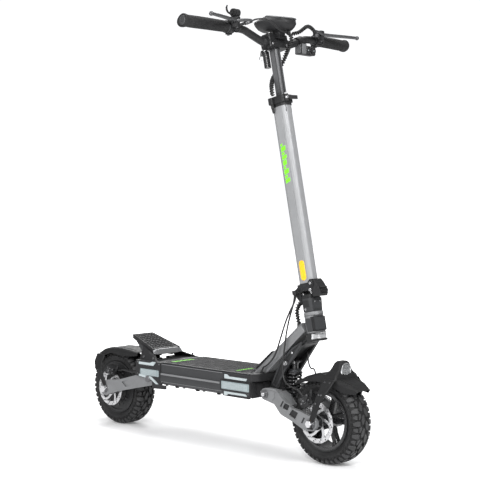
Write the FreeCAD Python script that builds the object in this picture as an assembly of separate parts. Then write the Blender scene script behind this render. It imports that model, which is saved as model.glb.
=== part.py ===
import FreeCAD, Part

import math
import os

# Electric kick scooter with a hinged, height-adjustable stem, a swinging arm and a
# spring-and-damper unit at each end, and a long flat deck.
#
# Row frame: +X points forward, +Y to the rider's left, +Z up. The ground is z = 0 and
# x = 0 lies halfway between the two axles. Lengths are in millimetres.
#
# The steering head and the stem lean back, so they are drawn upright in a local frame,
# (ahead, left, up along the stem), and leaned as a whole by the function lean.

V = FreeCAD.Vector
X_AXIS = V(1, 0, 0)
Y_AXIS = V(0, 1, 0)
Z_AXIS = V(0, 0, 1)

# ---- driving dimensions -------------------------------------------------------------

WHEEL_RADIUS = 127.5
WHEEL_BASE = 920.0
TYRE_HALF = 39.5
TREAD_HALF = 25.0
RIM_RADIUS = 80.0
DISC_RADIUS = 60.0
DISC_INNER_Y = 61.0
DISC_THICK = 2.0

FRONT_AXLE = (WHEEL_BASE / 2, WHEEL_RADIUS)
REAR_AXLE = (-WHEEL_BASE / 2, WHEEL_RADIUS)

LEAN = 11.55
STEER_BASE = V(381, 0, 497)

DECK_HALF = 100.0
DECK_TOP = 244.0
DECK_BOTTOM = 172.0
DECK_REAR = -165.0
DECK_FRONT = 228.0
MAT_THICK = 3.5

FRONT_PIVOT = (272.0, 190.0)
REAR_PIVOT = (-225.0, 186.0)
FRONT_SHOCK_LOW = (316.0, 184.0)
FRONT_SHOCK_HIGH = (321.5, 282.8)
REAR_SHOCK_LOW = (-260.0, 168.0)
REAR_SHOCK_HIGH = (-297.5, 255.3)

PIVOT_RADIUS = 8.0
AXLE_RADIUS = 6.0
SHOCK_PIN_RADIUS = 4.0
RUNNING_GAP = 0.05
LOOSE_GAP = 0.35

HINGE = (-31.0, 2.0)
HINGE_PIN_RADIUS = 4.0
LATCH_PIN = (24.0, 24.0)
STEM_CENTRE = 5.0
STEM_LOW = 38.0
STEM_TOP = 567.0
COLLAR_TOP = 590.0
INNER_LOW = 380.0
CLAMP_LOW = 735.0
CLAMP_TOP = 775.0

BAR_X = 241.0
BAR_Z = 1237.0
BAR_RADIUS = 11.5
BAR_ROUTE = [(241, 62, 1237), (241, 135, 1262), (241, 160, 1264), (218, 364, 1268)]
GRIP_START = 205.0
GRIP_END = 364.0
GRIP_RADIUS = 17.0


# ---- shape helpers ------------------------------------------------------------------

def face_of(points):
    return Part.Face(Part.makePolygon(points + points[:1]))


def prism_y(outline, y0, y1):
    """A solid whose outline is (x, z) points, between two y planes."""
    return face_of([V(x, y0, z) for x, z in outline]).extrude(V(0, y1 - y0, 0))


def prism_x(outline, x0, x1):
    """A solid whose outline is (y, z) points, between two x planes."""
    return face_of([V(x0, y, z) for y, z in outline]).extrude(V(x1 - x0, 0, 0))


def prism_z(outline, z0, z1):
    """A solid whose outline is (x, y) points, between two z planes."""
    return face_of([V(x, y, z0) for x, y in outline]).extrude(V(0, 0, z1 - z0))


def box(x0, x1, y0, y1, z0, z1):
    return Part.makeBox(x1 - x0, y1 - y0, z1 - z0, V(x0, y0, z0))


def rod_y(centre, radius, y0, y1):
    """A cylinder along Y about the (x, z) centre."""
    return Part.makeCylinder(radius, y1 - y0, V(centre[0], y0, centre[1]), Y_AXIS)


def ring_y(centre, outer, inner, y0, y1):
    return rod_y(centre, outer, y0, y1).cut(rod_y(centre, inner, y0 - 1, y1 + 1))


def rod_z(x, y, radius, z0, z1):
    return Part.makeCylinder(radius, z1 - z0, V(x, y, z0), Z_AXIS)


def rod_between(start, end, radius):
    step = end - start
    return Part.makeCylinder(radius, step.Length, start, step)


def hexagon_y(centre, radius, y0, y1):
    """A hexagonal nut or bolt head along Y."""
    corners = []
    for side in range(6):
        turn = math.radians(60 * side)
        corners.append((centre[0] + radius * math.cos(turn), centre[1] + radius * math.sin(turn)))
    return prism_y(corners, y0, y1)


def mirrored(shape):
    return shape.mirror(V(0, 0, 0), Y_AXIS)


def both_sides(shape):
    return [shape, mirrored(shape)]


def single(shape):
    """The one solid of a result, where it has just one."""
    return shape.Solids[0] if len(shape.Solids) == 1 else shape


def fuse(shapes):
    return single(shapes[0].multiFuse(shapes[1:]).removeSplitter())


def cut(shape, tools):
    for tool in tools:
        shape = shape.cut(tool)
    return single(shape)


def rounded(shape, radius, direction):
    """Rounds the straight edges that run along one direction."""
    edges = []
    for edge in shape.Edges:
        if len(edge.Vertexes) == 2:
            run = edge.Vertexes[1].Point - edge.Vertexes[0].Point
            if run.Length > 0 and abs(run.normalize().dot(direction)) > 0.999:
                edges.append(edge)
    return shape.makeFillet(radius, edges)


def rounded_box(x0, x1, y0, y1, z0, z1, radius, direction=Z_AXIS):
    return rounded(box(x0, x1, y0, y1, z0, z1), radius, direction)


def stem_point(ahead, left, up):
    """A point of the stem's upright frame at its leaned place, as plain numbers."""
    turn = math.radians(LEAN)
    x = STEER_BASE.x + ahead * math.cos(turn) - up * math.sin(turn)
    z = STEER_BASE.z + ahead * math.sin(turn) + up * math.cos(turn)
    return (x, left, z)


def lean(shape):
    """Carries a shape from the upright local frame of the stem to its leaned place."""
    moved = shape.copy()
    moved.rotate(V(0, 0, 0), Y_AXIS, -LEAN)
    moved.translate(STEER_BASE)
    return moved


def skin(sections):
    return Part.makeLoft([Part.makePolygon(ring + ring[:1]) for ring in sections], True, True)


def loft(sections):
    """A flat-sided solid through closed polygons that have the same number of points."""
    solid = skin(sections)
    if solid.Volume < 0:
        solid = skin([list(reversed(ring)) for ring in sections])
    return solid


def bent_tube(points, radius, bend):
    """A round bar along straight runs that tangent arcs join."""
    route = [V(*point) for point in points]
    edges = []
    last = route[0]
    for index in range(1, len(route) - 1):
        corner = route[index]
        back = (route[index - 1] - corner).normalize()
        ahead = (route[index + 1] - corner).normalize()
        half_angle = back.getAngle(ahead) / 2
        room = 0.45 * min((route[index - 1] - corner).Length, (route[index + 1] - corner).Length)
        reach = min(bend / math.tan(half_angle), room)
        first = corner + back * reach
        second = corner + ahead * reach
        centre_way = (back + ahead).normalize()
        centre = corner + centre_way * (reach / math.cos(half_angle))
        middle = centre - centre_way * (reach * math.tan(half_angle))
        edges.append(Part.makeLine(last, first))
        edges.append(Part.Arc(first, middle, second).toShape())
        last = second
    edges.append(Part.makeLine(last, route[-1]))
    spine = Part.Wire(edges)
    circle = Part.Wire(Part.makeCircle(radius, route[0], route[1] - route[0]))
    return spine.makePipeShell([circle], True, False)


def turned_y(profile, centre):
    """Revolves a closed (radius, y) outline about the Y axis through the (x, z) centre."""
    points = [V(centre[0], y, centre[1] + radius) for radius, y in profile]
    return face_of(points).revolve(V(centre[0], 0, centre[1]), Y_AXIS, 360)


def coil(low, high, radius, wire, turns):
    """A coil spring about the line from low to high, both V."""
    height = (high - low).Length - wire
    helix = Part.makeHelix(height / turns, height, radius)
    start = V(radius, 0, 0)
    circle = Part.Wire(Part.makeCircle(wire / 2, start, V(0, 1, 0)))
    spring = Part.Wire(helix.Edges).makePipeShell([circle], True, True)
    spring.translate(V(0, 0, wire / 2))
    turn = FreeCAD.Rotation(Z_AXIS, high - low)
    spring.Placement = FreeCAD.Placement(low, turn).multiply(spring.Placement)
    return spring


def at(point, y=0.0):
    """An (x, z) pair as a point at the given y."""
    return V(point[0], y, point[1])


# ---- deck and fixed frame -----------------------------------------------------------

DECK_SECTION = [(84, 172), (96, 178), (100, 186), (100, 205), (97, 213), (97, 241), (94, 244)]
BAY_REAR = -150.0
BAY_FRONT = 190.0
BAY_HALF = 88.0
BAY_LOW = 177.0
BAY_HIGH = 238.0
REFLECTOR_DEPTH = 1.6
FRONT_REFLECTOR = (112, 228, 192, 216)
REAR_REFLECTOR = (-263, -173, 197, 218)
NECK_LOW = V(238, 0, 238)
NECK_HIGH = V(388, 0, 382)
NECK_THICK_LOW = 36.0
NECK_THICK_HIGH = 31.0
HEAD_RADIUS = 28.5
HEAD_LOW = -122.0
HEAD_HIGH = -72.0
STEERER_RADIUS = 12.7
HEAD_BORE = 15.5
HEAD_FLAT = 16.0
NOSE_SPLIT = 225.0


def reflector_box(bounds, face_y):
    """A shallow oblong let into the side of the deck, on the rider's left."""
    x0, x1, z0, z1 = bounds
    return box(x0, x1, face_y - REFLECTOR_DEPTH, face_y + 0.4, z0, z1)


def neck_section(foot, thick, half, up, bevel=9.0):
    """Cross-section of the neck: flat below, with its upper edges cut back."""
    ring = []
    for y, height in [(-half, 0), (-half, thick - bevel), (-half + bevel, thick),
                      (half - bevel, thick), (half, thick - bevel), (half, 0)]:
        ring.append(V(foot.x, y, foot.z) + up * height)
    return ring


def deck_parts():
    half = DECK_SECTION + [(-y, z) for y, z in reversed(DECK_SECTION)]
    hull = prism_x(half, DECK_REAR, DECK_FRONT)
    bay = box(BAY_REAR, BAY_FRONT, -BAY_HALF, BAY_HALF, BAY_LOW, BAY_HIGH)
    front_lens = reflector_box(FRONT_REFLECTOR, DECK_HALF)
    rear_lens = reflector_box(REAR_REFLECTOR, 99)
    hull = cut(hull, [bay] + both_sides(front_lens))

    battery = rounded_box(-110, 178, -70, 70, BAY_LOW + 3, BAY_HIGH - 6, 8)
    controller = rounded_box(-148, -116, -60, 60, BAY_LOW + 3, BAY_HIGH - 12, 4)

    lip = [(DECK_FRONT, -99), (236, -97), (247, -86), (252, -70), (252, 70), (247, 86), (236, 97),
           (DECK_FRONT, 99)]
    nose_low = prism_z([(DECK_FRONT, -97), (234, -94), (234, 94), (DECK_FRONT, 97)], 176, NOSE_SPLIT)
    nose_lip = prism_z(lip, NOSE_SPLIT, 247)

    way = (NECK_HIGH - NECK_LOW).normalize()
    up = V(-way.z, 0, way.x)
    low_end = NECK_LOW - way * 30
    neck = loft([neck_section(low_end, NECK_THICK_LOW, 48, up),
                 neck_section(NECK_HIGH, NECK_THICK_HIGH, 33, up)])
    head_bore = lean(Part.makeCylinder(HEAD_RADIUS + 0.1, 70, V(0, 0, HEAD_LOW - 15), Z_AXIS))
    neck = cut(neck, [box(150, 260, -60, 60, 150, DECK_TOP), nose_low, nose_lip, head_bore])
    neck = cut(neck, [lean(box(0, 80, -60, 60, -160, 0))])

    mat = box(DECK_REAR, 204, -96, 96, DECK_TOP, DECK_TOP + MAT_THICK)
    neck_foot = box(190, 260, -50, 50, DECK_TOP - 1, DECK_TOP + 20)
    mat = cut(mat, [neck, neck_foot])

    cover_foot = V(200, 0, 254)
    cover_low = neck_section(cover_foot, 7, 38, up, 3.0)
    cover_high = neck_section(cover_foot + way * 78, 5, 31, up, 3.0)
    cover = cut(loft([cover_low, cover_high]), [neck, box(150, 260, -60, 60, 200, 247.6)])

    return {
        "deck_frame": [hull],
        "battery_pack": [battery],
        "controller": [controller],
        "neck": [neck],
        "grip_mat": [mat],
        "front_covers": [nose_low, nose_lip, cover, head_cover(), cable_boot(neck)],
        "side_reflectors": both_sides(front_lens) + both_sides(rear_lens),
    }


def cable_boot(neck):
    """Rubber boot on the neck, where the harness enters it."""
    foot = V(345.5, -4, 383)
    way = V(-0.25, 0, 0.968)
    return cut(Part.makeCone(9, 5.5, 19, foot, way), [neck])


def head_cover():
    """Dark plate over the flat front of the head tube, wrapped a little round its sides."""
    low = HEAD_LOW + 4
    high = HEAD_HIGH - 4
    front = HEAD_FLAT + 2.5
    pieces = [box(HEAD_FLAT, front, -27.6, 27.6, low, high), box(2, front, 24.6, 27.6, low, high),
              box(2, front, -27.6, -24.6, low, high)]
    tube = Part.makeCylinder(HEAD_RADIUS + 0.05, 90, V(0, 0, HEAD_LOW - 10), Z_AXIS)
    tube = tube.cut(box(HEAD_FLAT, 40, -40, 40, HEAD_LOW - 20, HEAD_HIGH + 20))
    return lean(cut(fuse(pieces), [tube]))


def head_parts():
    shell = Part.makeCylinder(HEAD_RADIUS, HEAD_HIGH - HEAD_LOW, V(0, 0, HEAD_LOW), Z_AXIS)
    shell = shell.cut(Part.makeCylinder(HEAD_BORE, 90, V(0, 0, HEAD_LOW - 10), Z_AXIS))
    shell = shell.cut(box(HEAD_FLAT, 40, -40, 40, HEAD_LOW - 1, HEAD_HIGH + 1))
    cup_low = -71.0
    cup = Part.makeCylinder(HEAD_RADIUS, 10, V(0, 0, cup_low), Z_AXIS)
    cup = cup.cut(Part.makeCylinder(HEAD_BORE, 20, V(0, 0, cup_low - 5), Z_AXIS))
    bearings = [cup]
    for low in (cup_low, HEAD_LOW):
        race = Part.makeCylinder(HEAD_BORE, 9, V(0, 0, low), Z_AXIS)
        race = race.cut(Part.makeCylinder(STEERER_RADIUS + RUNNING_GAP, 20, V(0, 0, low - 5), Z_AXIS))
        bearings.append(race)
    return {
        "head_tube": [lean(shell)] + [lean(piece) for piece in bearings],
    }


CHEEK = [(DECK_REAR, 244), (-285, 244), (-285, 192), (-200, 184), (-172, 168), (DECK_REAR, 172)]
PLATE_TOP = 244.0
TOP_PLATE_HALF = 91.0
STAND_PIVOT = (-40.0, 161.0)


def stand_mount():
    """Two ears and a pin under the deck's left edge, which hold the kickstand."""
    inner = box(-52, -28, 74, 78, 154, DECK_BOTTOM)
    outer = box(-52, -28, 90, 94, 154, 175)
    outer = outer.cut(prism_x([(84, 172), (96, 178), (96, 190), (84, 190)], -60, -20))
    return [fuse([rod_y(STAND_PIVOT, 4, 72, 96), inner, outer])]


def rear_frame_parts():
    cheek = prism_y(CHEEK, 91, 99)
    lens = reflector_box(REAR_REFLECTOR, 99)
    ear = prism_y([(-206, 184), (-206, 157), (-143, 160), (-143, 171.8), (DECK_REAR, 171.8)], 93, 99)
    cheek = cut(fuse([cheek, ear]), [lens])
    cheeks = both_sides(cheek)
    roof = box(-285, DECK_REAR, -TOP_PLATE_HALF, TOP_PLATE_HALF, 236, PLATE_TOP)
    roof = cut(roof, [box(-330, -245, -34, 34, 230, 250)])
    back_wall = box(-180, DECK_REAR, -TOP_PLATE_HALF, TOP_PLATE_HALF, 176, 236)
    lug = prism_y([(-214, 236), (-214, 210), (-196, 176), (-180, 176), (-180, 236)], 30, 46)
    boss = rod_y(REAR_PIVOT, 15, 30, 46)
    strut = prism_y([(-180, 176), (-180, 200), (-225, 201), (-225, 171)], 30, 46)
    tower = prism_y([(-232, 244), (-232, 236), (-180, 236), (-180, 244)], 30, 46)
    housing = fuse([roof, back_wall] + cheeks + both_sides(lug) + both_sides(boss)
                   + both_sides(strut) + both_sides(tower))
    bore = rod_y(REAR_PIVOT, PIVOT_RADIUS, -120, 120)
    housing = cut(housing, [bore])
    shaft = fuse([rod_y(REAR_PIVOT, PIVOT_RADIUS, -99, 99),
                  hexagon_y(REAR_PIVOT, 11, 99, 104), hexagon_y(REAR_PIVOT, 11, -104, -99)])
    return {
        "rear_housing": [housing],
        "frame_pins": [shaft, rod_y(REAR_SHOCK_HIGH, SHOCK_PIN_RADIUS, -22, 22)] + stand_mount(),
    }


def kick_plate_parts():
    # corner rings run round the plate: back, lip top, lip bottom and foot
    top = [V(-364, -44, 317), V(-364, 44, 317), V(-243, 55, 277), V(-243, -55, 277)]
    under = [V(-364, -44, 304), V(-364, 44, 304), V(-241, 59, 258), V(-241, -59, 258)]
    plate = loft([under, top])
    hollow = loft([[V(-358, -38, 298), V(-358, 38, 298), V(-250, 50, 250), V(-250, -50, 250)],
                   [V(-358, -38, 310), V(-358, 38, 310), V(-250, 50, 271), V(-250, -50, 271)]])
    plate = cut(plate, [hollow])
    foot = [V(-288, 80, 244.2), V(-190, 95, 244.2), V(-190, 89, 244.2), V(-288, 74, 244.2)]
    head = [V(-300, 52, 288), V(-246, 57, 265), V(-246, 51, 265), V(-300, 46, 288)]
    wall = loft([foot, head])
    lug = prism_y([(-309, 295), (-306, 246), (-289, 246), (-284, 286)], 13, 19)
    lug = cut(lug, [rod_y(REAR_SHOCK_HIGH, SHOCK_PIN_RADIUS, 0, 40)])
    shell = fuse([plate] + both_sides(wall) + both_sides(lug))
    return {"kick_plate": [shell]}


# ---- steering head ------------------------------------------------------------------

BRACKET_REAR = [(384, 353), (345, 330), (298, 286), (258, 204)]
BRACKET_BOSS = [(256.5, 194), (258, 183), (265, 175.5), (272, 174), (280, 176), (287, 184), (288, 196)]
BRACKET_FRONT = [(284, 205), (316, 256), (382, 345), (392, 352)]
HOLDER_LOW = -4.0
BRACKET_INNER = 30.0
BRACKET_OUTER = 38.0


def steer_parts():
    block = rounded_box(-18, 16.4, -25, 25, -60, -14, 5)
    panel = box(15, 20, -18, 18, -52, -22)
    flange = rounded_box(-18, 16.4, -23, 23, -14, -9, 5)
    ear = prism_y([(-41, 2), (-38, 9), (-31, 12), (-24, 9), (-20, 0), (-17, -9), (-17, -34),
                   (-27, -24), (-38, -6)], 13, 25)
    base = fuse([block.cut(panel), flange] + both_sides(ear))
    pin_hole = rod_y(HINGE, HINGE_PIN_RADIUS, -40, 40)
    base = cut(base, [pin_hole, Part.makeCylinder(STEERER_RADIUS, 50, V(0, 0, -70), Z_AXIS)])
    holder = rounded_box(-37, -24, -40, -28, HOLDER_LOW, 8, 3)
    hinge_pin = fuse([rod_y(HINGE, HINGE_PIN_RADIUS, -25, 25),
                      rod_y(HINGE, 6.5, 25, 28), rod_y(HINGE, 6.5, -28, -25)])

    steerer = Part.makeCylinder(STEERER_RADIUS, 121, V(0, 0, -141), Z_AXIS)
    steerer = steerer.cut(Part.makeCylinder(STEERER_RADIUS - 3, 140, V(0, 0, -150), Z_AXIS))
    crown_plan = [(-26, -15), (-14, -31), (6, -33), (10, -29), (10, 29), (6, 33), (-14, 31), (-26, 15)]
    crown = prism_z(crown_plan, -141, -126)
    crown = crown.cut(Part.makeCylinder(STEERER_RADIUS, 40, V(0, 0, -150), Z_AXIS))

    outline = BRACKET_REAR + BRACKET_BOSS + BRACKET_FRONT
    plate = prism_y(outline, BRACKET_INNER, BRACKET_OUTER)
    web_outline = [(384, 353), (345, 330), (298, 286), (276, 240), (285, 238), (305, 281), (350, 322),
                   (388, 344), (392, 352)]
    web = prism_y(web_outline, -BRACKET_INNER - 1, BRACKET_INNER + 1)
    collar = rod_y(FRONT_PIVOT, 13, BRACKET_OUTER - 1, 51)
    bracket = fuse([web] + both_sides(plate) + both_sides(collar))
    crown_seat = lean(prism_z(crown_plan, -141, -110))
    steerer_room = lean(Part.makeCylinder(STEERER_RADIUS + 0.1, 200, V(0, 0, -141), Z_AXIS))
    pivot_bore = rod_y(FRONT_PIVOT, PIVOT_RADIUS, -120, 120)
    eye_room = rod_y(FRONT_SHOCK_HIGH, 13, -11, 11)
    bracket = cut(bracket, [crown_seat, steerer_room, pivot_bore, eye_room])
    bracket = cut(bracket, [rod_y(FRONT_SHOCK_HIGH, SHOCK_PIN_RADIUS, -60, 60)])

    pivot = fuse([rod_y(FRONT_PIVOT, PIVOT_RADIUS, -79, 79),
                  rod_y(FRONT_PIVOT, 12, 78.6, 82), rod_y(FRONT_PIVOT, 12, -82, -78.6),
                  hexagon_y(FRONT_PIVOT, 9, 82, 87), hexagon_y(FRONT_PIVOT, 9, -87, -82)])
    shock_bolt = fuse([rod_y(FRONT_SHOCK_HIGH, SHOCK_PIN_RADIUS, -39, 39),
                       rod_y(FRONT_SHOCK_HIGH, 8, 38, 43), rod_y(FRONT_SHOCK_HIGH, 8, -43, -38)])
    return {
        "fold_base": [lean(base), lean(holder)],
        "fork_crown": [lean(crown), lean(steerer)],
        "fork_bracket": [bracket],
        "steering_pins": [pivot, shock_bolt, lean(hinge_pin)],
    }


# ---- stem ---------------------------------------------------------------------------

STEM_HALF_A = 22.0
STEM_HALF_Y = 18.0
STEM_WALL = 3.0
INNER_HALF_A = 14.0
INNER_HALF_Y = 12.0


def stem_box(half_a, half_y, low, high, radius):
    return rounded_box(STEM_CENTRE - half_a, STEM_CENTRE + half_a, -half_y, half_y, low, high, radius)


def stem_parts():
    tube = stem_box(STEM_HALF_A, STEM_HALF_Y, STEM_LOW, STEM_TOP, 13)
    tube = tube.cut(stem_box(STEM_HALF_A - STEM_WALL, STEM_HALF_Y - STEM_WALL, STEM_LOW - 1,
                             STEM_TOP + 1, 10))
    foot = rounded_box(-22, 30, -22, 22, 14, STEM_LOW, 8)
    slot = box(11.5, 40, -19.5, 19.5, 10, 50)
    knuckle = prism_y([(-31, -8), (-22, -3), (-12, 4), (-10, 15), (-22, 15), (-38, 8)], -12.7, 12.7)
    knuckle = fuse([knuckle, rod_y(HINGE, 9.7, -12.7, 12.7)])
    floor = box(-22, 11.4, -22, 22, 14, 20)
    foot = fuse([foot.cut(slot), knuckle, rounded(floor, 6, Z_AXIS)])
    foot = cut(foot, [rod_y(HINGE, HINGE_PIN_RADIUS + RUNNING_GAP, -40, 40),
                      rod_y(LATCH_PIN, 3, -40, 40)])
    latch_pin = rod_y(LATCH_PIN, 3, -23, 23)

    collar = rounded_box(-24, 30, -23, 23, STEM_TOP, COLLAR_TOP, 9)
    inner_room = stem_box(INNER_HALF_A + 0.3, INNER_HALF_Y + 0.3, STEM_TOP - 5, COLLAR_TOP + 5, 6.3)
    lug_low = prism_z([(29, -20), (38, -20), (40, -14), (38, -8), (29, -8)], STEM_TOP + 1, 572.4)
    lug_high = prism_z([(29, -20), (38, -20), (40, -14), (38, -8), (29, -8)], 585.4, COLLAR_TOP - 0.5)
    guide = rounded_box(-23, -8, -34, -22, STEM_TOP, COLLAR_TOP - 3, 3)
    collar = fuse([collar, lug_low, lug_high, guide])
    cam_room = rod_z(34, -14, 6.2, 572.4, 585.4)
    pin_bores = [rod_z(34, -14, 2.5, 560, 600), rod_z(-13, -28, 4.0, 560, 600)]
    collar = cut(collar, [inner_room, cam_room] + pin_bores)
    cam_pin = rod_z(34, -14, 2.5, STEM_TOP - 1, COLLAR_TOP + 1)
    return {
        "stem_tube": [lean(tube)],
        "stem_foot": [lean(foot), lean(latch_pin)],
        "stem_collar": [lean(collar), lean(cam_pin)],
    }


def latch_lever():
    hook = prism_y([(19, 34), (33, 33), (41, 22), (54, -4), (47, -20), (24, -18), (19, -6)], -19, 19)
    hook = rounded(hook, 2, Y_AXIS)
    return {"fold_lever": [lean(hook.cut(rod_y(LATCH_PIN, 3 + RUNNING_GAP, -30, 30)))]}


def collar_lever():
    eye = rod_z(34, -14, 5.5, 572.8, 585)
    arm = prism_z([(30.6, -14), (38, -18), (44, 4), (46, 24), (41, 25), (38, 8), (31, 0)], 573.5, 584.3)
    lever = fuse([eye, arm]).cut(rod_z(34, -14, 2.5 + RUNNING_GAP, 560, 600))
    return {"collar_lever": [lean(lever)]}


# ---- handlebar ----------------------------------------------------------------------

def left_of(points):
    return [(x, -y, z) for x, y, z in points]


def bar_point(y):
    """Point on the bar's outer run, which holds the grips, at the given distance from the middle."""
    start = BAR_ROUTE[2]
    end = BAR_ROUTE[3]
    share = (y - start[1]) / (end[1] - start[1])
    return V(start[0] + share * (end[0] - start[0]), y, start[2] + share * (end[2] - start[2]))


def bar_sleeve(y0, y1, outer, inner):
    """A ring round the outer run of the bar."""
    low = bar_point(y0)
    high = bar_point(y1)
    return rod_between(low, high, outer).cut(rod_between(low - (high - low), high * 2 - low, inner))


def handlebar_parts():
    route = list(reversed(left_of(BAR_ROUTE))) + BAR_ROUTE
    bar = bent_tube(route, BAR_RADIUS, 45)
    middle = Part.makeCylinder(15.5, 100, V(BAR_X, -50, BAR_Z), Y_AXIS)
    taper = Part.makeCone(15.5, BAR_RADIUS, 12, V(BAR_X, 50, BAR_Z), Y_AXIS)
    bar = fuse([bar, middle] + both_sides(taper))

    grip = bar_sleeve(GRIP_START, GRIP_END - 4, GRIP_RADIUS, BAR_RADIUS)
    flare = bar_sleeve(GRIP_END - 12, GRIP_END - 4, 19, BAR_RADIUS)
    cap_end = bar_point(GRIP_END - 0.05)
    cap = rod_between(bar_point(GRIP_END - 4), cap_end, 16)
    cap = cap.common(box(100, 400, 0, GRIP_END, 1100, 1400))
    grip = fuse([grip, flare])
    beyond = rod_between(bar_point(GRIP_END - 4), bar_point(GRIP_END + 30), 40)
    bar = cut(bar, both_sides(cap) + both_sides(beyond))

    tube = stem_box(INNER_HALF_A, INNER_HALF_Y, INNER_LOW, CLAMP_LOW, 6)
    tube = tube.cut(stem_box(INNER_HALF_A - 2.5, INNER_HALF_Y - 2.5, INNER_LOW - 1, CLAMP_LOW + 1, 3.5))
    shoe = stem_box(STEM_HALF_A - STEM_WALL - 0.4, STEM_HALF_Y - STEM_WALL - 0.4, INNER_LOW,
                    INNER_LOW + 30, 9.6)
    shoe = shoe.cut(stem_box(INNER_HALF_A, INNER_HALF_Y, INNER_LOW - 1, INNER_LOW + 40, 6))

    clamp = lean(rounded_box(-10, 30, -44, 40, CLAMP_LOW, CLAMP_TOP, 5))
    clamp = clamp.cut(Part.makeCylinder(15.5, 200, V(BAR_X, -100, BAR_Z), Y_AXIS))
    pedestal = box(246, 268, -15, 15, 1250, 1269.8)
    clamp = fuse([clamp, pedestal]).cut(Part.makeCylinder(15.5, 200, V(BAR_X, -100, BAR_Z), Y_AXIS))

    key_box = rounded_box(-24, -9.2, -27, -8, 682, 733, 4)
    ring = Part.makeTorus(13, 1.3)
    ring.rotate(V(0, 0, 0), X_AXIS, 80)
    ring.translate(V(-32, -17, 722))
    key = fuse([box(-33, -24, -19, -15, 726, 733), rod_z(-33, -17, 5, 724, 733)])
    key = cut(key, [ring])
    return {
        "handlebar": [bar],
        "grips": both_sides(grip) + both_sides(cap),
        "inner_tube": [lean(tube), lean(shoe)],
        "bar_clamp": [clamp],
        "key_switch": [lean(key_box), lean(fuse([key]))],
    }


POD_CENTRE = 262.0
POD_HALF_LENGTH = 62.0
POD_HALF_WIDTH = 50.0
POD_TOP_REAR = 1326.7
POD_SLOPE = 0.28


def display_parts():
    plan = Part.Ellipse(V(POD_CENTRE, 0, 1260), POD_HALF_LENGTH, POD_HALF_WIDTH)
    pillar = Part.Face(Part.Wire(plan.toShape())).extrude(V(0, 0, 90))
    x0 = POD_CENTRE - POD_HALF_LENGTH
    x1 = POD_CENTRE + POD_HALF_LENGTH
    drop = POD_SLOPE * (x1 - x0)
    side = [(x0, POD_TOP_REAR), (x1, POD_TOP_REAR - drop), (x1, 1290), (300, 1277), (262, 1270),
            (222, 1272), (208, 1290), (x0, 1305)]
    pod = pillar.common(prism_y(side, -60, 60))
    waist = [(50.2, 1340), (50.2, 1296), (40, 1280), (26, 1269), (-26, 1269), (-40, 1280),
             (-50.2, 1296), (-50.2, 1340)]
    pod = pod.common(prism_x(waist, x0 - 5, x1 + 5))
    glass_plan = Part.Ellipse(V(POD_CENTRE, 0, 1260), POD_HALF_LENGTH - 8, POD_HALF_WIDTH - 8)
    glass_pillar = Part.Face(Part.Wire(glass_plan.toShape())).extrude(V(0, 0, 90))
    slab = [(x0, POD_TOP_REAR - 0.4), (x1, POD_TOP_REAR - 0.4 - drop), (x1, POD_TOP_REAR - 3 - drop),
            (x0, POD_TOP_REAR - 3)]
    glass = glass_pillar.common(prism_y(slab, -60, 60))
    pod = pod.cut(glass_pillar.common(prism_y([(x0, POD_TOP_REAR + 9), (x1, POD_TOP_REAR + 9 - drop)]
                                              + slab[2:], -60, 60)))
    return {"display_housing": [pod], "display_glass": [glass]}


LEVER_PIVOT = (264.0, 188.0)
LEVER_LOW = 1277.0
LEVER_HIGH = 1285.0
THROTTLE = (260.0, 1303.0)


def control_parts():
    ring = bar_sleeve(180, 200, 16, BAR_RADIUS)
    body = prism_z([(238, 179), (258, 179), (270, 182), (272, 194), (258, 201), (238, 201)], 1262, 1289)
    slot = box(255, 290, 170, 215, LEVER_LOW - 0.4, LEVER_HIGH + 0.4)
    perch = fuse([ring, body.cut(slot)])
    perch = perch.cut(rod_between(bar_point(160), bar_point(230), BAR_RADIUS))
    perch = perch.cut(rod_z(LEVER_PIVOT[0], LEVER_PIVOT[1], 2.5, 1250, 1300))
    pin = rod_z(LEVER_PIVOT[0], LEVER_PIVOT[1], 2.5, 1263, 1289)
    adjuster = rod_between(V(264, 179, 1269), V(276, 140, 1284), 4)
    adjuster = fuse([adjuster, rod_between(V(273, 150, 1280), V(276, 140, 1284), 5.5)])
    adjuster = adjuster.cut(body)
    drum = rod_y(THROTTLE, 12, -199, -181)
    neck = box(253, 266, -197, -183, 1289, 1296)
    throttle = fuse([drum, neck, rod_y(THROTTLE, 3, -212, -199)])

    blade_plan = [(257, 183), (264, 180), (271, 184), (270, 203), (286, 252), (300, 320), (292, 323),
                  (276, 256), (259, 206)]
    blade = prism_z(blade_plan, LEVER_LOW, LEVER_HIGH)
    ball = Part.makeSphere(7, V(297, 325, (LEVER_LOW + LEVER_HIGH) / 2))
    lever = fuse([blade, ball])
    lever = lever.cut(rod_z(LEVER_PIVOT[0], LEVER_PIVOT[1], 2.5 + RUNNING_GAP, 1270, 1290))

    paddle = prism_y([(253, 1311), (256, 1322), (262, 1324), (270, 1321), (266, 1308)], -222, -199.4)
    hub = rod_y(THROTTLE, 11.5, -212, -199.4)
    trigger = fuse([hub, paddle]).cut(rod_y(THROTTLE, 3 + RUNNING_GAP, -230, -190))
    return {
        "control_mounts": both_sides(perch) + both_sides(pin) + both_sides(adjuster) + [throttle],
        "brake_lever_left": [lever],
        "brake_lever_right": [mirrored(lever)],
        "throttle_lever": [trigger],
    }


BUTTON_ROWS = (134.0, 160.0)
BUTTON_Z = 1228.0
BUTTON_RADIUS = 10.0


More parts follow.
